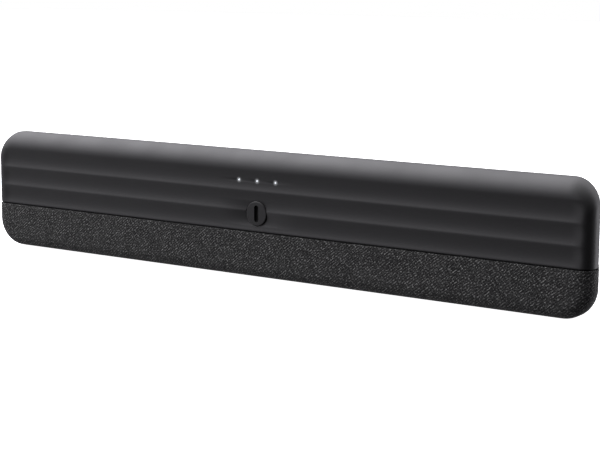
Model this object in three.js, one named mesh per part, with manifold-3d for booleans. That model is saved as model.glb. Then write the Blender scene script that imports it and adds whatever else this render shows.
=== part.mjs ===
// A compact television soundbar: a long bar with a fluted plastic shell above a fabric grille.
// Millimetres. +Z is up, +X runs along the bar to the right as the listener sees it, and the
// front faces -Y. The origin is on the table, under the middle of the bar.
// Depths inside the bar are written t: t = 0 is the front face and t = DEPTH is the rear face.

import * as THREE from 'three';
import { mergeVertices } from 'three/addons/utils/BufferGeometryUtils.js';
import Module from 'manifold-3d';

const wasm = await Module();
wasm.setup();

// ---- Driving dimensions ------------------------------------------------------------------

// The case.
const LENGTH = 600;
const HEIGHT = 108;
const DEPTH = 75;
const FOOT_LIFT = 1.5; // gap under the case
const TOP_CORNER = 21; // corner radii of the outline seen from the front
const BOTTOM_CORNER = 25;
const FRONT_ROLL = 10; // radius of the edge round the front face
const TOP_ROLL = 16; // how far down the front the top edge starts to roll over
const REAR_ROLL = 10;
const SIDE_BAND = 5; // straight part of each end, behind the front roll
const SIDE_TAPER = THREE.MathUtils.degToRad(24); // the ends draw in towards the rear
const TOP_FALL = THREE.MathUtils.degToRad(8); // the top slopes down towards the rear
const WALL = 2.2;
const FRONT_WALL = 3.4;
const REAR_COVER_DEPTH = 12.75; // the rear housing's share of the depth
const SIDE_RETURN = 34; // how far the grille wraps round each end

// Clearances.
const GAP = 0.3; // between pieces that touch
const HALF_GAP = GAP / 2;
const SLIDE_FIT = 0.3; // round a button in its hole

// The loudspeakers. The full-range driver sets the height of the grille zone.
const DRIVER_RADIUS = 17;
const DRIVER_BELOW = 4.3; // from the case's underside to the driver's flange
const DRIVER_ABOVE = 1.2; // from the flange to the seam
const DRIVER_FROM_END = 80;
const DRIVER_DEPTH = 26;
const CONE_TRAVEL = 1.5;
const TWEETER_RADIUS = 10;
const TWEETER_FROM_END = 42;
const FLANGE_T = 8; // the front of every loudspeaker flange
const FLANGE_THICKNESS = 1.5;
const DRIVER_GASKET = 0.8;

// The grille and the seam.
const FABRIC_THICKNESS = 1;
const FABRIC_PROUD = 0.4; // how far the fabric stands out past the shell
const FRAME_WALL = 2;
const SEAM_GAP = 1.4;
const SEAM_GASKET_HEIGHT = 0.8;
const SEAM_GASKET_SET = 1.8;
const SEAM_GASKET_WIDTH = 1.5;

// The fluted front.
const FLUTE_COUNT = 3;
const FLUTE_DEPTH = 1.6;
const FLUTE_END_MARGIN = 4; // from the bar's end to where the flutes run out
const FLUTE_FADE = 6;

// The front button and the three status lights.
const BUTTON_RADIUS = 10.4;
const BUTTON_RISE = 15.4; // centre above the seam
const BUTTON_FLANGE = 1.2; // how far the flange behind the shell stands out past the cap
const BUTTON_PROUD = 1.4; // the cap's face in front of the deepest line of the flutes
const BUTTON_TRAVEL = 0.8;
const BUTTON_EDGE = 1; // rounding round the cap's face
const BUTTON_GROOVE_WIDTH = 3.2;
const BUTTON_GROOVE_LENGTH = 12;
const BUTTON_GROOVE_DEPTH = 0.8;
const LIGHT_COUNT = 3;
const LIGHT_PITCH = 18.6;
const LIGHT_RADIUS = 1;

// The chassis and the boards.
const BAFFLE_THICKNESS = 2.4;
const FLOOR_THICKNESS = 2;
const BOARD_THICKNESS = 1.6;
const BOARD_HEIGHT = 17; // underside of the main and power boards above the table
const BOARD_FRONT_T = 17;
const BOSS_RADIUS = 3.5;
const POST_RADIUS = 2.5;

// The underside.
const BOTTOM_FRONT_T = 13; // where the bottom plate meets the grille
const BOTTOM_FROM_END = 55;
const FOOT_RADIUS = 7;
const FOOT_MARGIN = 2.5; // from the plate's edge to the foot
const FOOT_POCKET = 0.6;
const FOOT_FROM_END = 90;
const SCREW_FROM_END = 112;
const SCREW_HEAD_RADIUS = 3;
const SCREW_SHANK_RADIUS = 1.2;
const SCREW_LENGTH = 11;

// The rear.
const BAY_WIDTH = 124;
const BAY_LOW = 12;
const BAY_TALL = 36;
const BAY_DEPTH = 14;
const BAY_WALL = 2;
const BAY_MARGIN = 3; // from the recess's side to the first socket
const PANEL_THICKNESS = 2;
const SOCKET_DEPTH = 13;
const PORT_RADIUS = 12;
const PORT_WALL = 1.5;
const PORT_LENGTH = 41;
const PORT_X = 150;
const PORT_BELOW_TOP = 46;
const KEYHOLE_X = 215;
const KEYHOLE_BELOW_TOP = 40;
const KEYHOLE_PLATE = { width: 26, height: 36, thickness: 1.5 };
const KEYHOLE_HEAD_RADIUS = 5;
const KEYHOLE_SLOT = 5;
const KEYHOLE_RISE = 10;
const PAIRING_RADIUS = 3;
const PAIRING_TRAVEL = 0.6;

// How finely round shapes are cut.
const CORNER_STEPS = 5;
const ROLL_STEPS = 4;
const ROUND = 16;
const FINE_ROUND = 28;

// ---- Sizes worked out from the driving dimensions ----------------------------------------

const FRONT_Y = -DEPTH / 2;
const SPLIT_T = DEPTH - REAR_COVER_DEPTH;
const SPEAKER_Z = FOOT_LIFT + DRIVER_BELOW + DRIVER_RADIUS;
const SEAM_Z = SPEAKER_Z + DRIVER_RADIUS + DRIVER_ABOVE;
const FLUTE_HEIGHT = (HEIGHT - TOP_ROLL - SEAM_Z) / FLUTE_COUNT;
const LIGHT_Z = SEAM_Z + (FLUTE_COUNT - 0.5) * FLUTE_HEIGHT;
const BUTTON_Z = SEAM_Z + BUTTON_RISE;
const FLUTE_FLOOR_T = FABRIC_PROUD + FLUTE_DEPTH;
const BUTTON_FACE_T = FLUTE_FLOOR_T - BUTTON_PROUD;
const SHELL_INSIDE = FABRIC_PROUD + WALL;
const FRONT_INSIDE_T = FABRIC_PROUD + FRONT_WALL;
const FRAME_OUTSIDE = FABRIC_THICKNESS + GAP;
const FRAME_INSIDE = FRAME_OUTSIDE + FRAME_WALL;
const BAFFLE_T = FLANGE_T + FLANGE_THICKNESS + GAP + DRIVER_GASKET + GAP;
const BAFFLE_BACK_T = BAFFLE_T + BAFFLE_THICKNESS;
const FLOOR_Z = FOOT_LIFT + FRAME_INSIDE + GAP;
const FLOOR_TOP_Z = FLOOR_Z + FLOOR_THICKNESS;
const BOTTOM_X = LENGTH / 2 - BOTTOM_FROM_END;
const BOTTOM_Z = FOOT_LIFT + FABRIC_PROUD;
const PLATE_TOP_Z = FLOOR_Z - GAP;
const BAY_T = DEPTH - BAY_DEPTH;
const PANEL_T = BAY_T - GAP - PANEL_THICKNESS;
const BOARD_BACK_T = PANEL_T - GAP;
const BOARD_TOP_Z = BOARD_HEIGHT + BOARD_THICKNESS;
const PORT_Z = HEIGHT - PORT_BELOW_TOP;
const KEYHOLE_Z = HEIGHT - KEYHOLE_BELOW_TOP;
const DRIVER_X = LENGTH / 2 - DRIVER_FROM_END;
const TWEETER_X = LENGTH / 2 - TWEETER_FROM_END;
const SCREW_X = LENGTH / 2 - SCREW_FROM_END;
const SCREW_FRONT_T = BOTTOM_FRONT_T + 11;
const SCREW_REAR_T = SPLIT_T - 9;
const FOOT_X = LENGTH / 2 - FOOT_FROM_END;
const FRONT_BOARD_T = BAFFLE_T - GAP - BOARD_THICKNESS;
const FAR = LENGTH + DEPTH + HEIGHT; // larger than anything here, for cutting away a whole side

// ---- Materials ---------------------------------------------------------------------------

const finishes = {
  shell: { color: 0x2b2b2d, roughness: 0.5, metalness: 0 },
  fabric: { color: 0x3a3a3c, roughness: 0.95, metalness: 0 },
  frame: { color: 0x18181a, roughness: 0.7, metalness: 0 },
  rubber: { color: 0x121213, roughness: 0.85, metalness: 0 },
  light: { color: 0xf4f7ff, roughness: 0.3, metalness: 0 },
  board: { color: 0x1d5a3a, roughness: 0.5, metalness: 0 },
  component: { color: 0x202022, roughness: 0.6, metalness: 0 },
  cone: { color: 0x3b3733, roughness: 0.9, metalness: 0 },
  steel: { color: 0x9a9da1, roughness: 0.35, metalness: 1 },
  aluminium: { color: 0xb9bcc0, roughness: 0.4, metalness: 1 },
  cable: { color: 0x161617, roughness: 0.6, metalness: 0 },
};

// ---- Tools for making shapes -------------------------------------------------------------

const signedVolume = (geometry) => {
  const corner = [new THREE.Vector3(), new THREE.Vector3(), new THREE.Vector3()];
  const { position } = geometry.attributes;
  let sum = 0;
  for (let i = 0; i < geometry.index.count; i += 3) {
    corner.forEach((v, k) => v.fromBufferAttribute(position, geometry.index.getX(i + k)));
    sum += corner[0].dot(corner[1].clone().cross(corner[2]));
  }
  return sum / 6;
};

// Joins shared corners, and turns the faces out whichever way round the shape was drawn.
const closed = (geometry) => {
  geometry.deleteAttribute('normal');
  geometry.deleteAttribute('uv');
  const merged = mergeVertices(geometry, 1e-3);
  if (signedVolume(merged) < 0) {
    const order = Array.from(merged.index.array);
    for (let i = 0; i < order.length; i += 3) {
      [order[i], order[i + 1]] = [order[i + 1], order[i]];
    }
    merged.setIndex(order);
  }
  return merged;
};

const solid = (geometry) => {
  const { attributes, index } = closed(geometry);
  return new wasm.Manifold(new wasm.Mesh({
    numProp: 3,
    vertProperties: Float32Array.from(attributes.position.array),
    triVerts: Uint32Array.from(index.array),
  }));
};

const geometryOf = (manifold) => {
  const { vertProperties, triVerts } = manifold.getMesh();
  const geometry = new THREE.BufferGeometry();
  geometry.setAttribute('position', new THREE.BufferAttribute(vertProperties, 3));
  geometry.setIndex(new THREE.BufferAttribute(triVerts, 1));
  return geometry;
};

const join = (first, ...others) => others.reduce((sum, piece) => sum.add(piece), first);
const cut = (first, ...others) => others.reduce((rest, piece) => rest.subtract(piece), first);

// A block between two values of x, of t and of z.
const block = (x0, x1, t0, t1, z0, z1) => solid(
  new THREE.BoxGeometry(x1 - x0, t1 - t0, z1 - z0)
    .translate((x0 + x1) / 2, (t0 + t1) / 2 + FRONT_Y, (z0 + z1) / 2),
);

// A shape turned about an axis along the depth. The profile lists [radius, t].
const turned = (profile, x, z, steps = ROUND) => solid(
  new THREE.LatheGeometry(profile.map(([r, t]) => new THREE.Vector2(r, t)), steps)
    .translate(x, FRONT_Y, z),
);
const rod = (radius, t0, t1, x, z, steps = ROUND) => turned(
  [[0, t0], [radius, t0], [radius, t1], [0, t1]], x, z, steps,
);

// The same about an upright axis. The profile lists [radius, z].
const upright = (profile, x, t, steps = ROUND) => solid(
  new THREE.LatheGeometry(profile.map(([r, z]) => new THREE.Vector2(r, z)), steps)
    .rotateX(Math.PI / 2)
    .scale(1, -1, 1)
    .translate(x, t + FRONT_Y, 0),
);
const post = (radius, z0, z1, x, t, steps = ROUND) => upright(
  [[0, z0], [radius, z0], [radius, z1], [0, z1]], x, t, steps,
);

// A flat outline in x and z, drawn about (x, z) and given thickness from t0 to t1.
const plate = (shape, t0, t1, x, z) => solid(
  new THREE.ExtrudeGeometry(shape, { depth: t1 - t0, bevelEnabled: false, curveSegments: 6 })
    .rotateX(Math.PI / 2)
    .translate(x, t1 + FRONT_Y, z),
);

// An upright pill, or one lying down when it is wider than it is tall.
const pill = (width, height) => {
  const radius = Math.min(width, height) / 2;
  const dx = width / 2 - radius;
  const dz = height / 2 - radius;
  const turn = dx > dz ? -Math.PI / 2 : 0;
  const shape = new THREE.Shape();
  shape.absarc(dx, dz, radius, turn, turn + Math.PI, false);
  shape.absarc(-dx, -dz, radius, turn + Math.PI, turn + 2 * Math.PI, false);
  shape.closePath();
  return shape;
};

// ---- The case's form ---------------------------------------------------------------------

// The rounded outline of the case seen from the front, from the bottom right corner round.
const outline = (half, low, high, lowRadius, highRadius) => {
  const corners = [
    [half - lowRadius, low + lowRadius, lowRadius],
    [half - highRadius, high - highRadius, highRadius],
    [highRadius - half, high - highRadius, highRadius],
    [lowRadius - half, low + lowRadius, lowRadius],
  ];
  return corners.flatMap(([x, z, radius], quarter) => (
    Array.from({ length: CORNER_STEPS + 1 }, (_, i) => {
      const angle = (quarter - 1 + i / CORNER_STEPS) * Math.PI / 2;
      return [x + radius * Math.cos(angle), z + radius * Math.sin(angle)];
    })
  ));
};

// The whole case as one solid, drawn in by `side` at the front, the ends and the underside,
// and by `crown` at the top and the rear.
const caseForm = (side, crown = side) => {
  const rings = [];
  const ring = (t, extra, highExtra = extra) => {
    const behind = Math.max(0, t - FRONT_ROLL - SIDE_BAND);
    const taper = behind * Math.tan(SIDE_TAPER);
    rings.push(outline(
      LENGTH / 2 - taper - side - extra,
      FOOT_LIFT + side + extra,
      HEIGHT - crown - highExtra - behind * Math.tan(TOP_FALL),
      BOTTOM_CORNER - side - extra,
      TOP_CORNER - crown - extra,
    ).map(([x, z]) => [x, t + FRONT_Y, z]));
  };
  const frontRadius = FRONT_ROLL - side;
  const rearRadius = REAR_ROLL - crown;
  for (let i = 0; i <= ROLL_STEPS; i += 1) {
    const angle = i / ROLL_STEPS * Math.PI / 2;
    const inset = 1 - Math.sin(angle);
    ring(side + frontRadius * (1 - Math.cos(angle)), frontRadius * inset, (TOP_ROLL - crown) * inset);
  }
  ring(FRONT_ROLL + SIDE_BAND, 0);
  for (let i = 0; i <= ROLL_STEPS; i += 1) {
    const angle = i / ROLL_STEPS * Math.PI / 2;
    ring(DEPTH - REAR_ROLL + rearRadius * Math.sin(angle), rearRadius * (1 - Math.cos(angle)));
  }

  const count = rings[0].length;
  const points = rings.flat();
  const faces = [];
  for (let r = 0; r + 1 < rings.length; r += 1) {
    for (let i = 0; i < count; i += 1) {
      const a = r * count + i;
      const b = r * count + (i + 1) % count;
      faces.push(a, a + count, b + count, a, b + count, b);
    }
  }
  const last = (rings.length - 1) * count;
  for (let i = 1; i + 1 < count; i += 1) {
    faces.push(0, i, i + 1, last, last + i + 1, last + i);
  }
  const geometry = new THREE.BufferGeometry();
  geometry.setAttribute('position', new THREE.Float32BufferAttribute(points.flat(), 3));
  geometry.setIndex(faces);
  return solid(geometry);
};

const everything = caseForm(FABRIC_PROUD, 0);
const inside = caseForm(SHELL_INSIDE, WALL);

// ---- The assembly ------------------------------------------------------------------------

const group = new THREE.Group();
const part = (name, shape, finish) => {
  const mesh = new THREE.Mesh(geometryOf(shape), new THREE.MeshStandardMaterial(finishes[finish]));
  mesh.name = name;
  group.add(mesh);
};
const ENDS = [['left', -1], ['right', 1]];

const lightX = (i) => (i - (LIGHT_COUNT - 1) / 2) * LIGHT_PITCH;

// Upper shell: fluted front, rolled edges, top and ends in one moulding.
const fluteRadius = ((FLUTE_HEIGHT / 2) ** 2 + FLUTE_DEPTH ** 2) / (2 * FLUTE_DEPTH);
const fluteHalf = LENGTH / 2 - FLUTE_END_MARGIN;
const fluteCutter = (z) => {
  const profile = [
    [0, -fluteHalf], [fluteRadius - FLUTE_DEPTH, -fluteHalf],
    [fluteRadius, FLUTE_FADE - fluteHalf], [fluteRadius, fluteHalf - FLUTE_FADE],
    [fluteRadius - FLUTE_DEPTH, fluteHalf], [0, fluteHalf],
  ];
  return solid(
    new THREE.LatheGeometry(profile.map(([r, x]) => new THREE.Vector2(r, x)), 64)
      .rotateZ(Math.PI / 2)
      .translate(0, FRONT_Y + FABRIC_PROUD + FLUTE_DEPTH - fluteRadius, z),
  );
};
const flutes = Array.from({ length: FLUTE_COUNT }, (_, i) => (
  fluteCutter(SEAM_Z + (i + 0.5) * FLUTE_HEIGHT)
));
const lightHoles = Array.from({ length: LIGHT_COUNT }, (_, i) => (
  rod(LIGHT_RADIUS + SLIDE_FIT, -1, FRONT_INSIDE_T + 1, lightX(i), LIGHT_Z, 10)
));
const shellInside = inside.intersect(block(-FAR, FAR, FRONT_INSIDE_T, FAR, -FAR, FAR));
part('upper_shell', cut(
  everything.intersect(
    block(-FAR, FAR, -FAR, SPLIT_T - HALF_GAP, SEAM_Z + SEAM_GAP / 2, FAR),
  ),
  shellInside,
  ...flutes,
  rod(BUTTON_RADIUS + SLIDE_FIT, -1, FRONT_INSIDE_T + 1, 0, BUTTON_Z, FINE_ROUND),
  ...lightHoles,
), 'shell');

// Grille: a moulded frame that wraps round the ends, with windows for the loudspeakers, and the
// knitted sleeve stretched over it.
const grilleZone = cut(
  block(-FAR, FAR, -FAR, SIDE_RETURN - HALF_GAP, -FAR, SEAM_Z - SEAM_GAP / 2),
  block(-BOTTOM_X - HALF_GAP, BOTTOM_X + HALF_GAP, BOTTOM_FRONT_T - HALF_GAP, FAR, -FAR, FLOOR_Z + 2),
);
const grilleLayer = (outer, innerStart) => cut(caseForm(outer), caseForm(innerStart))
  .intersect(grilleZone);
const windows = ENDS.flatMap(([, side]) => [
  rod(DRIVER_RADIUS - 3, -1, FLANGE_T, side * DRIVER_X, SPEAKER_Z),
  rod(TWEETER_RADIUS - 2, -1, FLANGE_T, side * TWEETER_X, SPEAKER_Z),
]);
part('grille_frame', cut(grilleLayer(FRAME_OUTSIDE, FRAME_INSIDE), ...windows), 'frame');
part('grille_fabric', grilleLayer(0, FABRIC_THICKNESS), 'fabric');

// Seam gasket: a soft strip at the bottom of the groove between the shell and the grille.
part('seam_gasket', cut(
  caseForm(SEAM_GASKET_SET),
  caseForm(SEAM_GASKET_SET + SEAM_GASKET_WIDTH),
).intersect(block(
  -FAR, FAR, -FAR, SPLIT_T - HALF_GAP,
  SEAM_Z - SEAM_GASKET_HEIGHT / 2, SEAM_Z + SEAM_GASKET_HEIGHT / 2,
)), 'rubber');

// Rear housing: the back, with the recess for the sockets, and the lower half of the ends.
const bayX = BAY_WIDTH / 2;
const bayTop = BAY_LOW + BAY_TALL;
const rearShell = cut(
  everything.intersect(join(
    block(-FAR, FAR, SPLIT_T + HALF_GAP, FAR, -FAR, FAR),
    block(-FAR, FAR, SIDE_RETURN + HALF_GAP, FAR, -FAR, SEAM_Z - SEAM_GAP / 2),
  )),
  inside,
  block(-BOTTOM_X - HALF_GAP, BOTTOM_X + HALF_GAP, 0, SPLIT_T + HALF_GAP, -FAR, FLOOR_Z + 2),
);
const keyholePad = (x) => {
  const { width, height } = KEYHOLE_PLATE;
  return block(
    x - width / 2 - 3, x + width / 2 + 3, DEPTH - WALL - 3, DEPTH - 1,
    KEYHOLE_Z - height / 2 - 3, KEYHOLE_Z + height / 2 + 3,
  );
};
const keyholePocket = (x) => {
  const { width, height, thickness } = KEYHOLE_PLATE;
  return join(
    block(
      x - width / 2 - GAP, x + width / 2 + GAP, DEPTH - thickness - 2 * GAP, FAR,
      KEYHOLE_Z - height / 2 - GAP, KEYHOLE_Z + height / 2 + GAP,
    ),
    block(
      x - width / 2 + 5, x + width / 2 - 5, DEPTH - WALL - 4, FAR,
      KEYHOLE_Z - height / 2 + 5, KEYHOLE_Z + height / 2 - 5,
    ),
  );
};
part('rear_housing', cut(
  join(
    rearShell,
    block(
      -bayX - BAY_WALL, bayX + BAY_WALL, BAY_T, DEPTH - 1,
      BAY_LOW - BAY_WALL, bayTop + BAY_WALL,
    ),
    ...ENDS.map(([, side]) => keyholePad(side * KEYHOLE_X)),
  ),
  block(-bayX, bayX, BAY_T - 1, FAR, BAY_LOW, bayTop),
  ...ENDS.map(([, side]) => keyholePocket(side * KEYHOLE_X)),
  ...ENDS.map(([, side]) => (
    rod(PORT_RADIUS + PORT_WALL + GAP, SPLIT_T, FAR, side * PORT_X, PORT_Z)
  )),
), 'shell');

// Keyhole plates: steel, let into the rear face.
ENDS.forEach(([name, side]) => {
  const { width, height, thickness } = KEYHOLE_PLATE;
  const shape = new THREE.Shape();
  shape.moveTo(-width / 2, -height / 2);
  shape.lineTo(width / 2, -height / 2);
  shape.lineTo(width / 2, height / 2);
  shape.lineTo(-width / 2, height / 2);
  shape.closePath();
  const t = DEPTH - thickness - GAP;
  const head = rod(KEYHOLE_HEAD_RADIUS, t - 1, FAR, side * KEYHOLE_X, KEYHOLE_Z - 5);
  const slot = plate(
    pill(KEYHOLE_SLOT, KEYHOLE_SLOT + KEYHOLE_RISE), t - 1, t + thickness + 1,
    side * KEYHOLE_X, KEYHOLE_Z - 5 + KEYHOLE_RISE / 2,
  );
  part(
    `${name}_keyhole_plate`,
    cut(plate(shape, t, t + thickness, side * KEYHOLE_X, KEYHOLE_Z), head, slot),
    'steel',
  );
});

// Bass ports: two tubes with a flared mouth inside the case, tuned to the air behind the cones.
ENDS.forEach(([name, side]) => {
  const outer = PORT_RADIUS + PORT_WALL;
  const end = DEPTH - PORT_LENGTH;
  part(`${name}_bass_port`, turned([
    [PORT_RADIUS, DEPTH], [PORT_RADIUS, end + 4], [outer + 1, end], [outer + 2.5, end],
    [outer, end + 5], [outer, DEPTH - WALL - 2], [outer + 3, DEPTH - WALL - 2],
    [outer + 3, DEPTH - WALL - GAP], [outer, DEPTH - WALL - GAP], [outer, DEPTH],
    [PORT_RADIUS, DEPTH],
  ], side * PORT_X, PORT_Z), 'frame');
});

// Bottom plate, with pockets for the feet and counterbores for the case screws.
const screwPlaces = [-SCREW_X, 0, SCREW_X].flatMap((x) => (
  [SCREW_FRONT_T, SCREW_REAR_T].map((t) => [x, t])
));
const footPlaces = [
  ['front_left_foot', -FOOT_X, BOTTOM_FRONT_T + FOOT_RADIUS + FOOT_MARGIN],
  ['front_right_foot', FOOT_X, BOTTOM_FRONT_T + FOOT_RADIUS + FOOT_MARGIN],
  ['rear_left_foot', -FOOT_X, SPLIT_T - FOOT_RADIUS - FOOT_MARGIN],
  ['rear_right_foot', FOOT_X, SPLIT_T - FOOT_RADIUS - FOOT_MARGIN],
];
const headTop = BOTTOM_Z + 1.3;
part('bottom_plate', cut(
  block(
    -BOTTOM_X + HALF_GAP, BOTTOM_X - HALF_GAP,
    BOTTOM_FRONT_T + HALF_GAP, SPLIT_T - HALF_GAP, BOTTOM_Z, PLATE_TOP_Z,
  ),
  ...footPlaces.map(([, x, t]) => (
    post(FOOT_RADIUS + GAP, -1, BOTTOM_Z + FOOT_POCKET, x, t)
  )),
  ...screwPlaces.flatMap(([x, t]) => [
    post(SCREW_HEAD_RADIUS + GAP, -1, headTop + GAP, x, t, 12),
    post(SCREW_SHANK_RADIUS + GAP, -1, FAR, x, t, 8),
  ]),
), 'frame');
footPlaces.forEach(([name, x, t]) => {
  const top = BOTTOM_Z + FOOT_POCKET - GAP;
  part(name, upright([
    [0, 0], [FOOT_RADIUS - 0.6, 0], [FOOT_RADIUS, 0.6], [FOOT_RADIUS, top], [0, top],
  ], x, t), 'rubber');
});
screwPlaces.forEach(([x, t], i) => {
  part(`case_screw_${i + 1}`, upright([
    [0, BOTTOM_Z + 0.2], [SCREW_HEAD_RADIUS, BOTTOM_Z + 0.2], [SCREW_HEAD_RADIUS, headTop],
    [SCREW_SHANK_RADIUS, headTop], [SCREW_SHANK_RADIUS, headTop + SCREW_LENGTH - 1],
    [0, headTop + SCREW_LENGTH],
  ], x, t, 8), 'steel');
});

// Chassis: one moulding with the baffle that the loudspeakers seal against, the floor, the
// screw bosses and the posts under the boards.
const powerBoard = { x0: -144, x1: -31 };
const mainBoard = { x0: -28, x1: 74 };
const postPlaces = [powerBoard, mainBoard].flatMap(({ x0, x1 }) => (
  [x0 + 6, x1 - 6].flatMap((x) => [BOARD_FRONT_T + 5, BOARD_BACK_T - 5].map((t) => [x, t]))
));
const bossTop = headTop + SCREW_LENGTH + 1;
const ribbonSlot = { half: 9.5, z0: BUTTON_Z - 14, z1: BUTTON_Z - 9.6 };
const baffle = caseForm(FRAME_INSIDE + GAP)
  .intersect(block(-FAR, FAR, BAFFLE_T, BAFFLE_BACK_T, FLOOR_Z, FAR));
part('chassis', cut(
  join(
    baffle,
    block(-BOTTOM_X + 5, BOTTOM_X - 5, BAFFLE_T + 1, SPLIT_T - 3, FLOOR_Z, FLOOR_TOP_Z),
    ...screwPlaces.map(([x, t]) => post(BOSS_RADIUS, FLOOR_Z, bossTop, x, t, 8)),
    ...postPlaces.map(([x, t]) => post(POST_RADIUS, FLOOR_Z, BOARD_HEIGHT - GAP, x, t, 8)),
  ),
  ...screwPlaces.map(([x, t]) => post(SCREW_SHANK_RADIUS + GAP, -1, bossTop - 0.6, x, t, 8)),
  ...ENDS.flatMap(([, side]) => [
    rod(DRIVER_RADIUS - 1.2, 0, BAFFLE_BACK_T + 1, side * DRIVER_X, SPEAKER_Z),
    rod(TWEETER_RADIUS - 1.6, 0, BAFFLE_BACK_T + 1, side * TWEETER_X, SPEAKER_Z),
  ]),
  block(-ribbonSlot.half, ribbonSlot.half, 0, BAFFLE_BACK_T + 1, ribbonSlot.z0, ribbonSlot.z1),
), 'frame');

// Full-range drivers: flange and basket, gasket, surround, cone with its voice coil, magnet.
const flangeBack = FLANGE_T + FLANGE_THICKNESS;
const rollOuter = DRIVER_RADIUS - 2;
const rollInner = DRIVER_RADIUS - 4.4;
const driverBack = FLANGE_T + DRIVER_DEPTH;
const magnetT = driverBack - 11;
ENDS.forEach(([name, side]) => {
  const x = side * DRIVER_X;
  part(`${name}_driver_basket`, turned([
    [DRIVER_RADIUS, FLANGE_T], [DRIVER_RADIUS, flangeBack], [DRIVER_RADIUS - 1.8, flangeBack],
    [11, magnetT - GAP], [9.4, magnetT - GAP], [DRIVER_RADIUS - 3, flangeBack - 0.4],
    [DRIVER_RADIUS - 1.6, flangeBack - 0.5], [DRIVER_RADIUS - 1.6, FLANGE_T],
    [DRIVER_RADIUS, FLANGE_T],
  ], x, SPEAKER_Z), 'component');
  part(`${name}_driver_gasket`, turned([
    [DRIVER_RADIUS, flangeBack + GAP], [DRIVER_RADIUS, flangeBack + GAP + DRIVER_GASKET],
    [DRIVER_RADIUS - 1, flangeBack + GAP + DRIVER_GASKET],
    [DRIVER_RADIUS - 1, flangeBack + GAP], [DRIVER_RADIUS, flangeBack + GAP],
  ], x, SPEAKER_Z), 'rubber');
  part(`${name}_driver_surround`, turned([
    [rollOuter, FLANGE_T], [(rollOuter + rollInner) / 2, FLANGE_T - 1.2], [rollInner, FLANGE_T],
    [rollInner, FLANGE_T + 0.6], [(rollOuter + rollInner) / 2, FLANGE_T - 0.5],
    [rollOuter, FLANGE_T + 0.6], [rollOuter, FLANGE_T],
  ], x, SPEAKER_Z), 'rubber');
  const rim = rollInner - GAP;
  part(`${name}_driver_cone`, turned([
    [0, FLANGE_T + 1.4], [2.6, FLANGE_T + 1.9], [4.4, FLANGE_T + 3.6], [rim, FLANGE_T - 0.4],
    [rim, FLANGE_T + 0.5], [5, FLANGE_T + 5.2], [5, magnetT - GAP - CONE_TRAVEL],
    [4.2, magnetT - GAP - CONE_TRAVEL], [4.2, FLANGE_T + 4.8], [0, FLANGE_T + 2.4],
  ], x, SPEAKER_Z), 'cone');
  part(`${name}_driver_magnet`, turned([
    [0, magnetT], [DRIVER_RADIUS - 3.4, magnetT], [DRIVER_RADIUS - 2.6, magnetT + 0.8],
    [DRIVER_RADIUS - 2.6, driverBack - 0.8], [DRIVER_RADIUS - 3.4, driverBack], [0, driverBack],
  ], x, SPEAKER_Z), 'steel');
  part(`${name}_tweeter`, turned([
    [0, FLANGE_T - 1], [3.6, FLANGE_T - 0.5], [6, FLANGE_T + 1], [6.8, FLANGE_T],
    [TWEETER_RADIUS, FLANGE_T], [TWEETER_RADIUS, BAFFLE_T - GAP],
    [TWEETER_RADIUS - 2, BAFFLE_T - GAP], [TWEETER_RADIUS - 2, BAFFLE_BACK_T + 6],
    [0, BAFFLE_BACK_T + 6],
  ], side * TWEETER_X, SPEAKER_Z), 'component');
});

// Front button: a flat cap with an upright groove, standing out of the flutes, on a flange behind
// the shell. It presses the plunger of a switch on the front board.
const flangeT = FRONT_INSIDE_T + GAP;
const capGroove = plate(
  pill(BUTTON_GROOVE_WIDTH, BUTTON_GROOVE_LENGTH), 0, BUTTON_FACE_T + BUTTON_GROOVE_DEPTH,
  0, BUTTON_Z,
);
part('front_button', cut(turned([
  [0, BUTTON_FACE_T], [BUTTON_RADIUS - BUTTON_EDGE, BUTTON_FACE_T],
  [BUTTON_RADIUS - BUTTON_EDGE * 0.3, BUTTON_FACE_T + BUTTON_EDGE * 0.3],
  [BUTTON_RADIUS, BUTTON_FACE_T + BUTTON_EDGE], [BUTTON_RADIUS, flangeT],
  [BUTTON_RADIUS + BUTTON_FLANGE, flangeT], [BUTTON_RADIUS + BUTTON_FLANGE, flangeT + 1],
  [0, flangeT + 1],
], 0, BUTTON_Z, FINE_ROUND), capGroove), 'shell');
const switchT = flangeT + 1 + BUTTON_TRAVEL + 2 * GAP;
part('button_plunger', rod(
  1.6, flangeT + 1 + GAP, switchT + 0.6, 0, BUTTON_Z, 10,
), 'component');
part('button_switch', cut(
  block(-3.2, 3.2, switchT, FRONT_BOARD_T - GAP, BUTTON_Z - 3.2, BUTTON_Z + 3.2),
  rod(1.6 + GAP, 0, switchT + 0.6 + BUTTON_TRAVEL + GAP, 0, BUTTON_Z, 10),
), 'component');
const lampT = FRONT_BOARD_T - 0.6;
part('front_board', join(
  block(
    -LIGHT_PITCH - 12, LIGHT_PITCH + 12, FRONT_BOARD_T, FRONT_BOARD_T + BOARD_THICKNESS,
    BUTTON_Z - 9, LIGHT_Z + 6,
  ),
  ...Array.from({ length: LIGHT_COUNT }, (_, i) => block(
    lightX(i) - 1.6, lightX(i) + 1.6, lampT, FRONT_BOARD_T + 0.5, LIGHT_Z - 1, LIGHT_Z + 1,
  )),
), 'board');
['left', 'centre', 'right'].forEach((name, i) => {
  part(`${name}_light_pipe`, turned([
    [0, FLUTE_FLOOR_T - 0.1], [LIGHT_RADIUS * 0.7, FLUTE_FLOOR_T],
    [LIGHT_RADIUS, FLUTE_FLOOR_T + 0.3], [LIGHT_RADIUS, lampT - GAP - 1],
    [LIGHT_RADIUS + 1, lampT - GAP - 1], [LIGHT_RADIUS + 1, lampT - GAP], [0, lampT - GAP],
  ], lightX(i), LIGHT_Z, 12), 'light');
});

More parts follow.
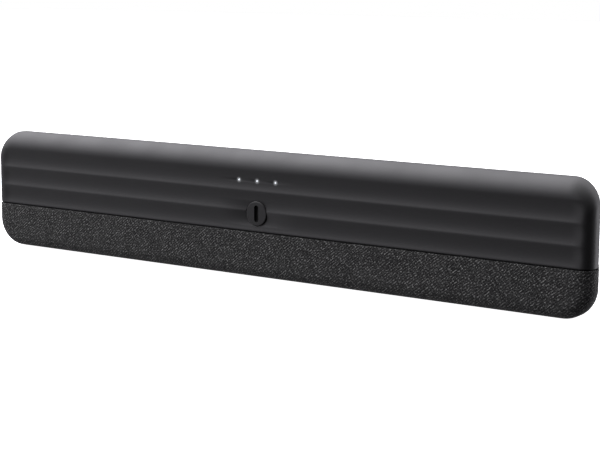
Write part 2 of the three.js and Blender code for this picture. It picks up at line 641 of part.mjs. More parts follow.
// Boards, their parts and the sockets that they carry.
const boardBlock = ({ x0, x1 }) => (
  block(x0, x1, BOARD_FRONT_T, BOARD_BACK_T, BOARD_HEIGHT, BOARD_TOP_Z)
);
const sunk = BOARD_TOP_Z - 0.5; // parts start inside the board, so that they join it
part('power_board', join(
  boardBlock(powerBoard),
  block(powerBoard.x0 + 30, powerBoard.x0 + 56, 24, 40, sunk, BOARD_TOP_Z + 19),
  block(powerBoard.x0 + 62, powerBoard.x0 + 68, 20, 36, sunk, BOARD_TOP_Z + 14),
  post(6.5, sunk, BOARD_TOP_Z + 20, powerBoard.x0 + 16, 30, 12),
  post(4, sunk, BOARD_TOP_Z + 12, powerBoard.x0 + 78, 26, 12),
), 'board');

// What stands in the bay, from left to right, evenly spaced between its sides.
const bayRow = [
  { name: 'power_inlet', width: 24, height: 14, finish: 'component' },
  { name: 'hdmi_socket', width: 16.6, height: 7.4, finish: 'steel' },
  { name: 'usb_socket', width: 15, height: 8, finish: 'steel' },
  { name: 'aux_socket', width: 9, height: 9, finish: 'component' },
  { name: 'pairing_button', width: 2 * (PAIRING_RADIUS + 1) },
];
const filled = bayRow.reduce((sum, { width }) => sum + width, 0);
const bayGap = (BAY_WIDTH - 2 * BAY_MARGIN - filled) / (bayRow.length - 1);
let bayAt = BAY_MARGIN - BAY_WIDTH / 2;
bayRow.forEach((item) => {
  item.x = bayAt + item.width / 2;
  bayAt += item.width + bayGap;
});
const pairingX = bayRow.at(-1).x;
const pairingZ = BOARD_TOP_Z + 6;
const pairingFlangeT = PANEL_T - GAP;
part('main_board', join(
  boardBlock(mainBoard),
  block(mainBoard.x0 + 12, mainBoard.x0 + 26, 22, 33, sunk, BOARD_TOP_Z + 1.4),
  block(
    pairingX - 3, pairingX + 3, pairingFlangeT - 6, pairingFlangeT - 1.4 - PAIRING_TRAVEL - GAP,
    sunk, pairingZ + 3,
  ),
), 'board');
const finCount = 6;
const sink = { x: mainBoard.x0 + 56, half: 17, t0: 19, t1: 31, z: BOARD_TOP_Z + GAP };
part('heatsink', join(
  block(sink.x - sink.half, sink.x + sink.half, sink.t0, sink.t1, sink.z, sink.z + 3),
  ...Array.from({ length: finCount }, (_, i) => {
    const x = sink.x - sink.half + 1 + i * (2 * sink.half - 2) / (finCount - 1);
    return block(x - 0.8, x + 0.8, sink.t0, sink.t1, sink.z + 2, sink.z + 17);
  }),
), 'aluminium');
part('radio_module', block(
  mainBoard.x0 + 76 - 2, mainBoard.x0 + 76 + 16, BOARD_BACK_T - 22, BOARD_BACK_T - 10,
  BOARD_TOP_Z + GAP, BOARD_TOP_Z + 3,
), 'steel');

const mouthT = BAY_T;
const socketZ = BOARD_TOP_Z + GAP;
const sockets = bayRow.slice(0, -1);
const socketBody = ({ x, width, height }, grow = 0, reach = 0) => block(
  x - width / 2 - grow, x + width / 2 + grow, mouthT - SOCKET_DEPTH - reach, mouthT + reach,
  socketZ - grow, socketZ + height + grow,
);
const socketHollow = {
  power_inlet: ({ x, height }) => plate(
    pill(17.5, 9.6), mouthT - 11, mouthT + 1, x, socketZ + height / 2,
  ),
  hdmi_socket: ({ x, height }) => cut(
    block(x - 7.3, x + 7.3, mouthT - 11, mouthT + 1, socketZ + 1, socketZ + height - 1),
    block(x - 5.6, x + 5.6, mouthT - 12, mouthT - 1, socketZ + 3, socketZ + 4.4),
  ),
  usb_socket: ({ x, height }) => cut(
    block(x - 6.5, x + 6.5, mouthT - 11, mouthT + 1, socketZ + 1, socketZ + height - 1),
    block(x - 5.5, x + 5.5, mouthT - 12, mouthT - 1, socketZ + 4, socketZ + 5.8),
  ),
  aux_socket: ({ x, height }) => rod(
    1.8, mouthT - 11, mouthT + 1, x, socketZ + height / 2, 12,
  ),
};
sockets.forEach((socket) => {
  part(socket.name, cut(socketBody(socket), socketHollow[socket.name](socket)), socket.finish);
});
part('port_panel', cut(
  block(
    -bayX - BAY_WALL, bayX + BAY_WALL, PANEL_T, PANEL_T + PANEL_THICKNESS,
    BAY_LOW - BAY_WALL, bayTop + BAY_WALL,
  ),
  ...sockets.map((socket) => socketBody(socket, GAP, 1)),
  rod(PAIRING_RADIUS + SLIDE_FIT, 0, BAY_T + 1, pairingX, pairingZ),
), 'frame');
part('pairing_button', turned([
  [0, BAY_T - 0.2], [PAIRING_RADIUS - 0.4, BAY_T - 0.2], [PAIRING_RADIUS, BAY_T - 0.6],
  [PAIRING_RADIUS, pairingFlangeT], [PAIRING_RADIUS + 1, pairingFlangeT],
  [PAIRING_RADIUS + 1, pairingFlangeT - 1.1], [0, pairingFlangeT - 1.1],
], pairingX, pairingZ), 'rubber');

// Wiring. A lead is a round section drawn along a curve through its points, given as [x, t, z].
const lead = (points, radius, steps) => {
  const path = new THREE.CatmullRomCurve3(
    points.map(([x, t, z]) => new THREE.Vector3(x, t + FRONT_Y, z)), false, 'centripetal',
  );
  const section = new THREE.Shape();
  section.absarc(0, 0, radius, 0, 2 * Math.PI, false);
  return solid(new THREE.ExtrudeGeometry(section, {
    steps, extrudePath: path, curveSegments: 3, bevelEnabled: false,
  }));
};
const leadZ = FLOOR_TOP_Z + 2.5;
const leadT = (SCREW_FRONT_T + SCREW_REAR_T) / 2; // between the two rows of screws
ENDS.forEach(([name, side]) => {
  const boardEdge = side < 0 ? mainBoard.x0 : mainBoard.x1;
  part(`${name}_speaker_cable`, lead([
    [side * DRIVER_X, driverBack + 1.8, SPEAKER_Z],
    [side * (DRIVER_X - 6), driverBack + 3.5, leadZ + 7],
    [side * (DRIVER_X - 18), driverBack + 2.6, leadZ + 1],
    [side * (DRIVER_X - 30), leadT, leadZ],
    [boardEdge + side * 24, leadT, leadZ],
    [boardEdge + side * 10, leadT, leadZ + 1],
    [boardEdge - side * 6, leadT + 2, BOARD_HEIGHT - 2],
  ], 1.2, 24), 'cable');
});
part('power_link_cable', lead([
  [powerBoard.x1 - 6, 21, BOARD_TOP_Z + 1.6], [powerBoard.x1 - 2, 21, BOARD_TOP_Z + 7],
  [mainBoard.x0 + 3, 21, BOARD_TOP_Z + 7], [mainBoard.x0 + 7, 21, BOARD_TOP_Z + 1.6],
], 1.2, 12), 'cable');

// The ribbon runs from the front board through the baffle to the main board.
const ribbonWidth = 14;
const ribbonThickness = 0.5;
const ribbonPath = new THREE.CatmullRomCurve3([
  [FRONT_BOARD_T + 0.8, BUTTON_Z - 9.6], [BAFFLE_T + 1.2, ribbonSlot.z0 + 2.6],
  [BAFFLE_BACK_T + 1.2, ribbonSlot.z0 + 1.2], [BAFFLE_BACK_T + 3.4, ribbonSlot.z0 - 6],
  [BAFFLE_BACK_T + 3.6, BOARD_TOP_Z + 8],
  [BOARD_FRONT_T + 3.4, BOARD_TOP_Z + 0.6],
].map(([t, z]) => new THREE.Vector3(0, t + FRONT_Y, z)), false, 'centripetal');
const ribbonSteps = 16;
const ribbonEdge = (side) => Array.from({ length: ribbonSteps + 1 }, (_, i) => {
  const at = ribbonPath.getPoint(i / ribbonSteps);
  const along = ribbonPath.getTangent(i / ribbonSteps);
  const out = side * ribbonThickness / 2;
  return new THREE.Vector2(at.y - out * along.z, at.z + out * along.y);
});
const ribbonShape = new THREE.Shape([...ribbonEdge(1), ...ribbonEdge(-1).reverse()]);
part('ribbon_cable', solid(
  new THREE.ExtrudeGeometry(ribbonShape, { depth: ribbonWidth, bevelEnabled: false })
    .rotateZ(Math.PI / 2)
    .rotateY(Math.PI / 2)
    .translate(-ribbonWidth / 2, 0, 0),
), 'cable');

export default group;
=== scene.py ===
# %% [markdown]
# # A soundbar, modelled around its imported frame
# The object is a long low loudspeaker bar. A fluted plastic shell makes the upper part, a cloth
# grille wraps the lower part, and a plain plastic housing closes the back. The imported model
# already holds every solid in its place, so this lesson makes the surfaces that are seen and
# gives every other part a finish of its own. The frame is loaded first and its box is kept.

# %% Load the frame
import math

import bmesh
import bpy
from mathutils import Matrix, Quaternion, Vector


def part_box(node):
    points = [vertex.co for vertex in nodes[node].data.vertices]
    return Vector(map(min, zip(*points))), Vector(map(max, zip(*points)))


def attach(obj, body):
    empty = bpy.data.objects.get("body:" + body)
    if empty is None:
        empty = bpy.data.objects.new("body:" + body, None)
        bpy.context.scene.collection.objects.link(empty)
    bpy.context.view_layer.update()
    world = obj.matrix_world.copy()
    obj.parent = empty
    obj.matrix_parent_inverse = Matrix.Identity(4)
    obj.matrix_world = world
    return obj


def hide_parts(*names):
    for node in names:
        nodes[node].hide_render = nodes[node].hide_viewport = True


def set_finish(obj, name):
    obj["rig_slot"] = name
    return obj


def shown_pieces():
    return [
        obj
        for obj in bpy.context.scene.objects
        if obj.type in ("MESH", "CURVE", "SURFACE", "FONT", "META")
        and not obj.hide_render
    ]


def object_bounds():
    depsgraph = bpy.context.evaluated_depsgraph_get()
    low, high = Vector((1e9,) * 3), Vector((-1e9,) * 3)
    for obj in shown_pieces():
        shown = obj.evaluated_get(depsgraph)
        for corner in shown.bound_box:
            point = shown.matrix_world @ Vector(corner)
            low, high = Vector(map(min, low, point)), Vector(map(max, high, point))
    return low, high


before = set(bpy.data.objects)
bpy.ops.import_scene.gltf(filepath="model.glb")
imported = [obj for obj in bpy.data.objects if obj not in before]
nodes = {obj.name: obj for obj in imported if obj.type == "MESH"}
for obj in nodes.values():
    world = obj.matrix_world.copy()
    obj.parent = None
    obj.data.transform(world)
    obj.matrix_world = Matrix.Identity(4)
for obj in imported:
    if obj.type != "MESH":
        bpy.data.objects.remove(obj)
cad_low, cad_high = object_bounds()
print("box of the packed model, m:", [round(high - low, 4) for low, high in zip(cad_low, cad_high)])

# %% [markdown]
# ## Units and a few main sizes
# Small products are easiest to think about in millimetres, so each mesh is drawn in millimetres
# and scaled to metres once, when it becomes a piece. Depths are written t and count back from
# the front face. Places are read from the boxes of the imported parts, so a piece can't drift
# away from the part that it stands for.

# %% Sizes
MM = 0.001


def box_mm(node):
    low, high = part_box(node)
    return low / MM, high / MM


FRONT_Y = cad_low.y / MM
HALF = cad_high.x / MM
CASE_TOP = cad_high.z / MM
DEPTH = (cad_high.y - cad_low.y) / MM
CASE_LOW = box_mm("grille_fabric")[0].z
SHELL_LOW = box_mm("upper_shell")[0].z
CLOTH_TOP = box_mm("grille_fabric")[1].z
SEAM_Z = (SHELL_LOW + CLOTH_TOP) / 2
SHELL_BACK_T = box_mm("upper_shell")[1].y - FRONT_Y
CLOTH_BACK_T = box_mm("grille_fabric")[1].y - FRONT_Y
PLATE_X = box_mm("bottom_plate")[1].x
PLATE_FRONT_T = box_mm("bottom_plate")[0].y - FRONT_Y
PROUD = 0.4  # the cloth stands this far outside the plastic
WALL = 2.2
TOP_CORNER = 21
BOTTOM_CORNER = 25
ROLL = 10  # radius of the edge round the front and round the back
TOP_ROLL = 16  # the top edge starts to roll over this far below the crest
TOP_DEPTH = 21  # and reaches the crest this far behind the front
SIDE_BAND = 5  # the ends run straight back this far behind the roll
SIDE_TAPER = math.radians(24)  # and then draw in
TOP_FALL = math.radians(8)  # the top slopes down towards the rear
GAP = 0.3  # between pieces that are put together
SIDES = ((-1, "left"), (1, "right"))
print(f"case {2 * HALF:.1f} x {DEPTH:.1f} x {CASE_TOP:.1f} mm, seam at {SEAM_Z:.1f} mm")

# %% [markdown]
# ## Turning a mesh into a piece
# Every piece needs the same last steps: scale to metres, smooth shading that still breaks at
# real edges, the CAD body that it rides on, the material slot that it belongs to, and the CAD
# nodes that it stands for. One function does them, so no piece can miss one. A small bevel
# beside a large flat face bends the shading of the whole face, so the normals are weighted by
# area. The fluted front and the cloth go without that, because they have no large flat face.

# %% Piece helpers
SMOOTH_ANGLE = math.radians(32)
SAME_PLACE = 0.002  # vertices closer than this, in millimetres, are one


def apply_modifiers(piece):
    graph = bpy.context.evaluated_depsgraph_get()
    made = bpy.data.meshes.new_from_object(piece.evaluated_get(graph))
    piece.modifiers.clear()
    piece.data = made


def shade(mesh):
    mesh.shade_smooth()
    mesh.set_sharp_from_angle(angle=SMOOTH_ANGLE)


def object_from(bm, name):
    bmesh.ops.remove_doubles(bm, verts=bm.verts, dist=SAME_PLACE)
    bmesh.ops.scale(bm, vec=(MM, MM, MM), verts=bm.verts)
    mesh = bpy.data.meshes.new(name)
    bm.to_mesh(mesh)
    bm.free()
    piece = bpy.data.objects.new(name, mesh)
    bpy.context.scene.collection.objects.link(piece)
    return piece


def rounded(piece, width_mm, angle=40, segments=2):
    """Rounds every edge that is sharper than `angle`, as a mould does."""
    bevel = piece.modifiers.new("edges", "BEVEL")
    bevel.width = width_mm * MM
    bevel.segments = segments
    bevel.limit_method = "ANGLE"
    bevel.angle_limit = math.radians(angle)
    bevel.use_clamp_overlap = True


def walled(piece, thickness_mm, even=True):
    """Gives a skin its thickness, inwards."""
    wall = piece.modifiers.new("wall", "SOLIDIFY")
    wall.thickness = thickness_mm * MM
    wall.offset = -1
    wall.use_even_offset = even


def settle(piece, body, slot, *stands_for, large_flats=True):
    apply_modifiers(piece)
    shade(piece.data)
    if large_flats:
        weighted = piece.modifiers.new("flat_stays_flat", "WEIGHTED_NORMAL")
        weighted.keep_sharp = True
        apply_modifiers(piece)
    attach(piece, body)
    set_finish(piece, slot)
    if stands_for:
        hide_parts(*stands_for)
    piece.data.calc_loop_triangles()
    size = [round(s / MM, 1) for s in piece.dimensions]
    print(f"{piece.name}: {len(piece.data.loop_triangles)} triangles, {size} mm")


# %% [markdown]
# ## Cutting tools
# Holes and recesses are cut with Boolean modifiers from simple closed solids: a block, a rod and
# an upright pill. The cutters are removed once the cut is applied. A Boolean keeps the wall's
# thickness visible inside a hole, which a hole drawn by deleting faces wouldn't.

# %% Cutter helpers
def moved(bm, x, t, z, verts=None):
    bmesh.ops.translate(bm, vec=(x, t + FRONT_Y, z), verts=verts or bm.verts)
    return bm


def block(x0, x1, t0, t1, z0, z1, edge=0.0):
    bm = bmesh.new()
    bmesh.ops.create_cube(bm, size=1)
    bmesh.ops.scale(bm, vec=(x1 - x0, t1 - t0, z1 - z0), verts=bm.verts)
    if edge:
        bmesh.ops.bevel(
            bm, geom=bm.edges[:], offset=edge, offset_type="OFFSET", segments=4,
            profile=0.5, affect="EDGES", material=-1,
        )
    return moved(bm, (x0 + x1) / 2, (t0 + t1) / 2, (z0 + z1) / 2)


def disc(radius, steps):
    """A disc in the upright plane, facing the listener."""
    bm = bmesh.new()
    bmesh.ops.create_circle(bm, cap_ends=True, segments=steps, radius=radius)
    bmesh.ops.rotate(bm, matrix=Matrix.Rotation(math.radians(90), 3, "X"), verts=bm.verts)
    return bm


def pull_back(bm, faces, depth):
    """Extrudes faces along the depth, and gives back the faces at the new end. A face that
    has neighbours moves, and one that stands alone stays behind as the other cap."""
    attached = any(len(e.link_faces) > 1 for f in faces for e in f.edges)
    made = bmesh.ops.extrude_face_region(bm, geom=faces)["geom"]
    if attached:
        bmesh.ops.delete(bm, geom=faces, context="FACES_ONLY")
    moved_verts = [g for g in made if isinstance(g, bmesh.types.BMVert)]
    bmesh.ops.translate(bm, vec=(0, depth, 0), verts=moved_verts)
    return [g for g in made if isinstance(g, bmesh.types.BMFace)]


def rod(radius, t0, t1, x, z, steps=64):
    bm = disc(radius, steps)
    pull_back(bm, bm.faces[:], t1 - t0)
    bmesh.ops.recalc_face_normals(bm, faces=bm.faces)
    return moved(bm, x, t0, z)


def upright_face(width, height, low_radius, high_radius, steps=16):
    """One face in the upright plane, facing the listener, with rounded corners."""
    bm = bmesh.new()
    bmesh.ops.create_grid(bm, x_segments=1, y_segments=1, size=0.5)
    bmesh.ops.scale(bm, vec=(width, height, 1), verts=bm.verts)
    bmesh.ops.rotate(bm, matrix=Matrix.Rotation(math.radians(90), 3, "X"), verts=bm.verts)
    corners = bm.verts[:]
    for radius, pair in (
        (low_radius, [v for v in corners if v.co.z < 0]),
        (high_radius, [v for v in corners if v.co.z > 0]),
    ):
        bmesh.ops.bevel(
            bm, geom=pair, offset=radius, offset_type="OFFSET", segments=steps, profile=0.5,
            affect="VERTICES", material=-1,
        )
    return bm


def pill(width, height, t0, t1, x, z):
    """A bar of pill section along the depth."""
    radius = min(width, height) / 2 - 0.001
    bm = upright_face(width, height, radius, radius)
    pull_back(bm, bm.faces[:], t1 - t0)
    bmesh.ops.remove_doubles(bm, verts=bm.verts, dist=0.003)
    bmesh.ops.recalc_face_normals(bm, faces=bm.faces)
    return moved(bm, x, t0, z)


def carve(piece, cutters, operation="DIFFERENCE"):
    for number, bm in enumerate(cutters):
        tool = object_from(bm, f"tool_{number}")
        boolean = piece.modifiers.new("cut", "BOOLEAN")
        boolean.operation = operation
        boolean.solver = "EXACT"
        boolean.object = tool
        apply_modifiers(piece)
        bpy.data.objects.remove(tool)


# %% [markdown]
# ## The case's skin
# The whole outside of the bar is one smooth form: a rounded outline with a 10 mm roll round the
# front, a taller and deeper roll at the top, a short straight band at each end, ends that draw
# in, a top that slopes down towards the back, and a rolled rear edge. The shell, the cloth, the
# seam strip and the rear housing are all slices of that form at slightly different offsets. So
# the form is made once, as a function: a flat rounded outline is extruded to the front and to
# the rear, the two rims are bevelled into rolls, and the top roll is then drawn down further.

# %% The skin
CORNER_STEPS = 20
ROLL_STEPS = 12
ON_PLANE = 1e-4  # how close to a plane a vertex counts as lying on it, in millimetres
BACKWARD, FORWARD, UP, DOWN, SIDEWAYS = (0, 1, 0), (0, -1, 0), (0, 0, 1), (0, 0, -1), (1, 0, 0)


def lies_at(v, t):
    return abs(v.co.y - FRONT_Y - t) < ON_PLANE


def at_t(t):
    return (0, t + FRONT_Y, 0)


def rim_of(bm, t):
    return [e for e in bm.edges if all(lies_at(v, t) for v in e.verts)]


def slice_off(bm, point, direction, clear=True):
    """Cuts the mesh by a plane and removes what lies on the side that `direction` points to."""
    bmesh.ops.bisect_plane(
        bm, geom=bm.verts[:] + bm.edges[:] + bm.faces[:], dist=0.001,
        plane_co=point, plane_no=direction, clear_outer=clear,
    )


def drop(t, height, depth):
    """How far an elliptic roll has fallen below its crest, at a distance t behind the front."""
    return height * (1 - math.sqrt(max(0, 1 - max(0, 1 - t / depth) ** 2)))


def case_skin(side, crown):
    """The closed skin, drawn in by `side` at the front, the ends and underneath, and by
    `crown` at the top and the rear."""
    half, low, high = HALF - side, CASE_LOW + side, CASE_TOP - crown
    band_t, rear_t = ROLL + SIDE_BAND, DEPTH - crown
    bm = upright_face(
        2 * half, high - low, BOTTOM_CORNER - side, TOP_CORNER - crown, CORNER_STEPS,
    )
    moved(bm, 0, band_t, (low + high) / 2)
    pull_back(bm, bm.faces[:], side - band_t)
    back = [f for f in bm.faces if all(lies_at(v, band_t) for v in f.verts)]
    rear = pull_back(bm, back, rear_t - band_t)
    middle = (low + high) / 2
    taper = (rear_t - band_t) * math.tan(SIDE_TAPER)
    fall = (rear_t - band_t) * math.tan(TOP_FALL)
    for v in {v for f in rear for v in f.verts}:
        v.co.x -= math.copysign(taper, v.co.x)
        if v.co.z > middle:
            v.co.z -= fall
    bmesh.ops.recalc_face_normals(bm, faces=bm.faces)
    for t, radius in ((side, ROLL - side), (rear_t, ROLL - crown)):
        bmesh.ops.bevel(
            bm, geom=rim_of(bm, t), offset=radius, offset_type="OFFSET", segments=ROLL_STEPS,
            profile=0.5, affect="EDGES", material=-1, clamp_overlap=False,
        )
    radius, deep = ROLL - side, TOP_DEPTH - side
    for t in range(ROLL + 1, TOP_DEPTH + 1):
        slice_off(bm, at_t(t), BACKWARD, clear=False)
    for v in bm.verts:
        t = v.co.y - FRONT_Y - side
        if v.co.z > middle and t < deep:
            v.co.z += drop(t, radius, radius) - drop(t, TOP_ROLL - crown, deep)
    return bm


def trim(piece, point, direction):
    """Cuts a walled piece by a plane and closes the wall again, for a flat rim."""
    bm = bmesh.new()
    bm.from_mesh(piece.data)
    bmesh.ops.bisect_plane(
        bm, geom=bm.verts[:] + bm.edges[:] + bm.faces[:], dist=ON_PLANE * MM,
        plane_co=[c * MM for c in point], plane_no=direction, clear_outer=True,
    )
    bmesh.ops.holes_fill(bm, edges=[e for e in bm.edges if e.is_boundary], sides=0)
    bm.to_mesh(piece.data)
    bm.free()


# %% [markdown]
# ## Upper shell
# The shell is one plastic moulding. Three shallow flutes run along its front, meet in creases,
# and run out before the ends. They could be cut with long cylinders, but real mould edges
# are never knife-sharp, so the front face is divided into close rows and each row is pushed in
# by the depth of the flute at that height, with the creases averaged over about a millimetre.

# %% Flutes
FLUTE_COUNT = 3
FLUTE_DEPTH = 1.6
FLUTE_TOP = CASE_TOP - TOP_ROLL
FLUTE_HEIGHT = (FLUTE_TOP - SEAM_Z) / FLUTE_COUNT
FLUTE_END = HALF - 4  # a flute has run out here
FLUTE_FADE = 13  # a flute loses its depth over this length before its end
CREASE_SOFT = 0.55  # half the height that a crease is rounded over
ROW = 0.85
SPARE = 2  # a slice is left this much too long, and trimmed once it has its wall
END_ROWS = 14


def sharp_flute(z):
    along = (z - SEAM_Z) / FLUTE_HEIGHT
    if not 0 <= along <= FLUTE_COUNT:
        return 0
    across = 2 * (along % 1) - 1
    return FLUTE_DEPTH * (1 - across * across)


def flute(z):
    spread = [sharp_flute(z + CREASE_SOFT * step / 3) for step in range(-3, 4)]
    return sum(spread) / len(spread)


def left_near_end(x):
    """The share of its depth that a flute keeps at x."""
    run = min(1, max(0, (FLUTE_END - abs(x)) / FLUTE_FADE))
    return run * run * (3 - 2 * run)


upper = case_skin(PROUD, 0)
slice_off(upper, (0, 0, SHELL_LOW - SPARE), DOWN)
slice_off(upper, at_t(SHELL_BACK_T + SPARE), BACKWARD)
rows = int((FLUTE_TOP + 1 - SHELL_LOW) / ROW)
for row in range(1, rows + 1):
    slice_off(upper, (0, 0, SHELL_LOW + row * ROW), UP, clear=False)
for back in range(END_ROWS):
    for side, _ in SIDES:
        slice_off(upper, (side * (FLUTE_END - back), 0, 0), SIDEWAYS, clear=False)
for x in range(-240, 241, 40):
    slice_off(upper, (x, 0, 0), SIDEWAYS, clear=False)
for v in upper.verts:
    if v.co.y - FRONT_Y < ROLL and v.co.z < FLUTE_TOP + 1:
        v.co.y += flute(v.co.z) * left_near_end(v.co.x)
shell = object_from(upper, "fluted_shell")
print(f"{FLUTE_COUNT} flutes of {FLUTE_HEIGHT:.1f} mm, {rows} rows")

# %% [markdown]
# The moulding gets its wall by Solidify, then the holes for the button and for the three status
# lights are cut through it, and the lower and rear rims get a small radius.

# %% Shell wall and holes
BUTTON_Z = (box_mm("front_button")[0].z + box_mm("front_button")[1].z) / 2
BUTTON_RADIUS = 10.4
SLIDE_FIT = 0.3
LIGHTS = ["left_light_pipe", "centre_light_pipe", "right_light_pipe"]
LIGHT_PLACES = [(box_mm(n)[0] + box_mm(n)[1]) / 2 for n in LIGHTS]
LIGHT_RADIUS = 1.0
HOLE_FROM, HOLE_TO = -2, 6  # the cutters reach from before the front to behind the wall

walled(shell, WALL)
apply_modifiers(shell)
trim(shell, (0, 0, SHELL_LOW), DOWN)
trim(shell, at_t(SHELL_BACK_T), BACKWARD)
carve(shell, [
    rod(BUTTON_RADIUS + SLIDE_FIT, HOLE_FROM, HOLE_TO, 0, BUTTON_Z, 96),
    *[rod(LIGHT_RADIUS + SLIDE_FIT, HOLE_FROM, HOLE_TO, p.x, p.z, 32) for p in LIGHT_PLACES],
])
rounded(shell, 0.25, angle=50)
settle(shell, "case", "shell_plastic", "upper_shell", large_flats=False)

# %% [markdown]
# ## Grille cloth
# The cloth is a woven sleeve, pulled tight over a moulded frame and turned under it. A
# simulation would only pull it flat again, so it is the same skin, one millimetre thick, open
# where the bottom plate goes. Its own UV map unrolls it: u runs round the bar and v up it, in
# metres, so that the weave goes round the ends without stretching.

# %% Cloth sleeve
CLOTH_THICKNESS = 1.0


def unrolled(co):
    """Arc length round the bar and up it, from the middle of the front."""
    x, t, z = co.x / MM, co.y / MM - FRONT_Y, co.z / MM
    flat_x, flat_z = HALF - ROLL, CASE_LOW + ROLL
    u = min(abs(x), flat_x)
    if abs(x) > flat_x:
        angle = math.atan2(abs(x) - flat_x, max(0.0, ROLL - t))
        u += ROLL * angle + max(0.0, t - ROLL)
    v = z
    if z < flat_z:
        v = flat_z - ROLL * math.atan2(flat_z - z, max(0.0, ROLL - t)) - max(0.0, t - ROLL)
        if abs(x) > HALF - BOTTOM_CORNER:
            share = min(1, (abs(x) - HALF + BOTTOM_CORNER) / BOTTOM_CORNER)
            v = v * (1 - share) + z * share
    return math.copysign(u, x) * MM, v * MM


sleeve = case_skin(0, 0)
slice_off(sleeve, (0, 0, CLOTH_TOP), UP)
slice_off(sleeve, at_t(CLOTH_BACK_T), BACKWARD)
for side, _ in SIDES:
    slice_off(sleeve, (side * (PLATE_X + GAP), 0, 0), SIDEWAYS, clear=False)
slice_off(sleeve, at_t(PLATE_FRONT_T - GAP), BACKWARD, clear=False)


def over_plate(middle):
    """Whether the middle of a face lies over the opening for the bottom plate."""
    behind = middle.y > FRONT_Y + PLATE_FRONT_T - GAP
    return abs(middle.x) < PLATE_X + GAP and middle.z < CASE_LOW + 5 and behind


bmesh.ops.delete(
    sleeve, geom=[f for f in sleeve.faces if over_plate(f.calc_center_median())], context="FACES",
)
CLOTH_ROW = 2.9
for row in range(1, 10):
    slice_off(sleeve, (0, 0, CASE_LOW + ROLL + row * CLOTH_ROW), UP, clear=False)
for x in range(-280, 281, 20):
    slice_off(sleeve, (x, 0, 0), SIDEWAYS, clear=False)
cloth = object_from(sleeve, "grille_cloth_sleeve")
walled(cloth, CLOTH_THICKNESS)
rounded(cloth, 0.45, angle=60, segments=3)
settle(cloth, "case", "grille_cloth", "grille_fabric", large_flats=False)
layer = cloth.data.uv_layers.new(name="weave")
for loop in cloth.data.loops:
    layer.data[loop.index].uv = unrolled(cloth.data.vertices[loop.vertex_index].co)

# %% [markdown]
# ## Seam strip
# A soft dark strip lies at the bottom of the groove between the shell and the cloth, and lets no
# light through. It is a thin slice of the same skin, set back.

# %% Seam strip
strip_low, strip_high = box_mm("seam_gasket")
STRIP_BACK, STRIP_WALL = 1.8, 1.5
strip_mesh = case_skin(STRIP_BACK, STRIP_BACK)
slice_off(strip_mesh, (0, 0, strip_low.z), DOWN)
slice_off(strip_mesh, (0, 0, strip_high.z), UP)
slice_off(strip_mesh, at_t(SHELL_BACK_T), BACKWARD)
strip = object_from(strip_mesh, "seam_strip")
walled(strip, STRIP_WALL, even=False)
settle(strip, "case", "soft_rubber", "seam_gasket")

# %% [markdown]
# ## Rear housing
# The back is a second moulding. It has a recess for the sockets, two round openings for the bass
# ports and two shallow pockets for the steel hanging plates. The skin is sliced to the
# housing's share of the case, given its wall, joined to the walls of the recess, and cut.

# %% Rear housing
port_low, port_high = box_mm("right_bass_port")
PORT_X, PORT_Z = (port_low.x + port_high.x) / 2, (port_low.z + port_high.z) / 2
PORT_OUTER = 13.5
key_low, key_high = box_mm("right_keyhole_plate")
panel_low, panel_high = box_mm("port_panel")
BAY_WALL = 2
BAY_HALF = panel_high.x - BAY_WALL
BAY_LOW, BAY_TOP = panel_low.z + BAY_WALL, panel_high.z - BAY_WALL
BAY_T = panel_high.y - FRONT_Y + GAP
SPLIT_T = SHELL_BACK_T + GAP
BEYOND = DEPTH + 5  # cutters end here, clear of the back

housing_mesh = case_skin(PROUD, 0)
slice_off(housing_mesh, at_t(CLOTH_BACK_T + GAP - SPARE), FORWARD)
slice_off(housing_mesh, at_t(SPLIT_T), BACKWARD, clear=False)
slice_off(housing_mesh, (0, 0, CLOTH_TOP), UP, clear=False)
for side, _ in SIDES:
    slice_off(housing_mesh, (side * (PLATE_X + GAP), 0, 0), SIDEWAYS, clear=False)


def not_housing(face):
    middle = face.calc_center_median()
    t = middle.y - FRONT_Y
    above = middle.z > CLOTH_TOP and t < SPLIT_T
    plate = abs(middle.x) < PLATE_X + GAP and t < SPLIT_T and middle.z < CASE_LOW + 8
    return above or plate


bmesh.ops.delete(
    housing_mesh, geom=[f for f in housing_mesh.faces if not_housing(f)], context="FACES",
)
housing = object_from(housing_mesh, "rear_cover")
walled(housing, WALL)
apply_modifiers(housing)
trim(housing, at_t(CLOTH_BACK_T + GAP), FORWARD)
carve(housing, [block(
    -BAY_HALF - BAY_WALL, BAY_HALF + BAY_WALL, BAY_T, DEPTH - 1, BAY_LOW - BAY_WALL,
    BAY_TOP + BAY_WALL,
)], "UNION")
carve(housing, [
    block(-BAY_HALF, BAY_HALF, BAY_T - 1, BEYOND, BAY_LOW, BAY_TOP, edge=0.8),
    *[rod(PORT_OUTER + GAP, SPLIT_T - 2, BEYOND, s * PORT_X, PORT_Z, 96) for s, _ in SIDES],
    *[
        block(
            min(s * key_low.x, s * key_high.x) - GAP, max(s * key_low.x, s * key_high.x) + GAP,
            key_low.y - FRONT_Y - GAP, BEYOND, key_low.z - GAP, key_high.z + GAP,
        )
        for s, _ in SIDES
    ],
])
rounded(housing, 0.3, angle=50)
settle(housing, "case", "shell_plastic", "rear_housing")

# %% [markdown]
# ## Turned pieces
# The button, the light pipes and the bass ports are round. Each is half a profile, spun once
# round its own axis and merged where the spin meets itself.

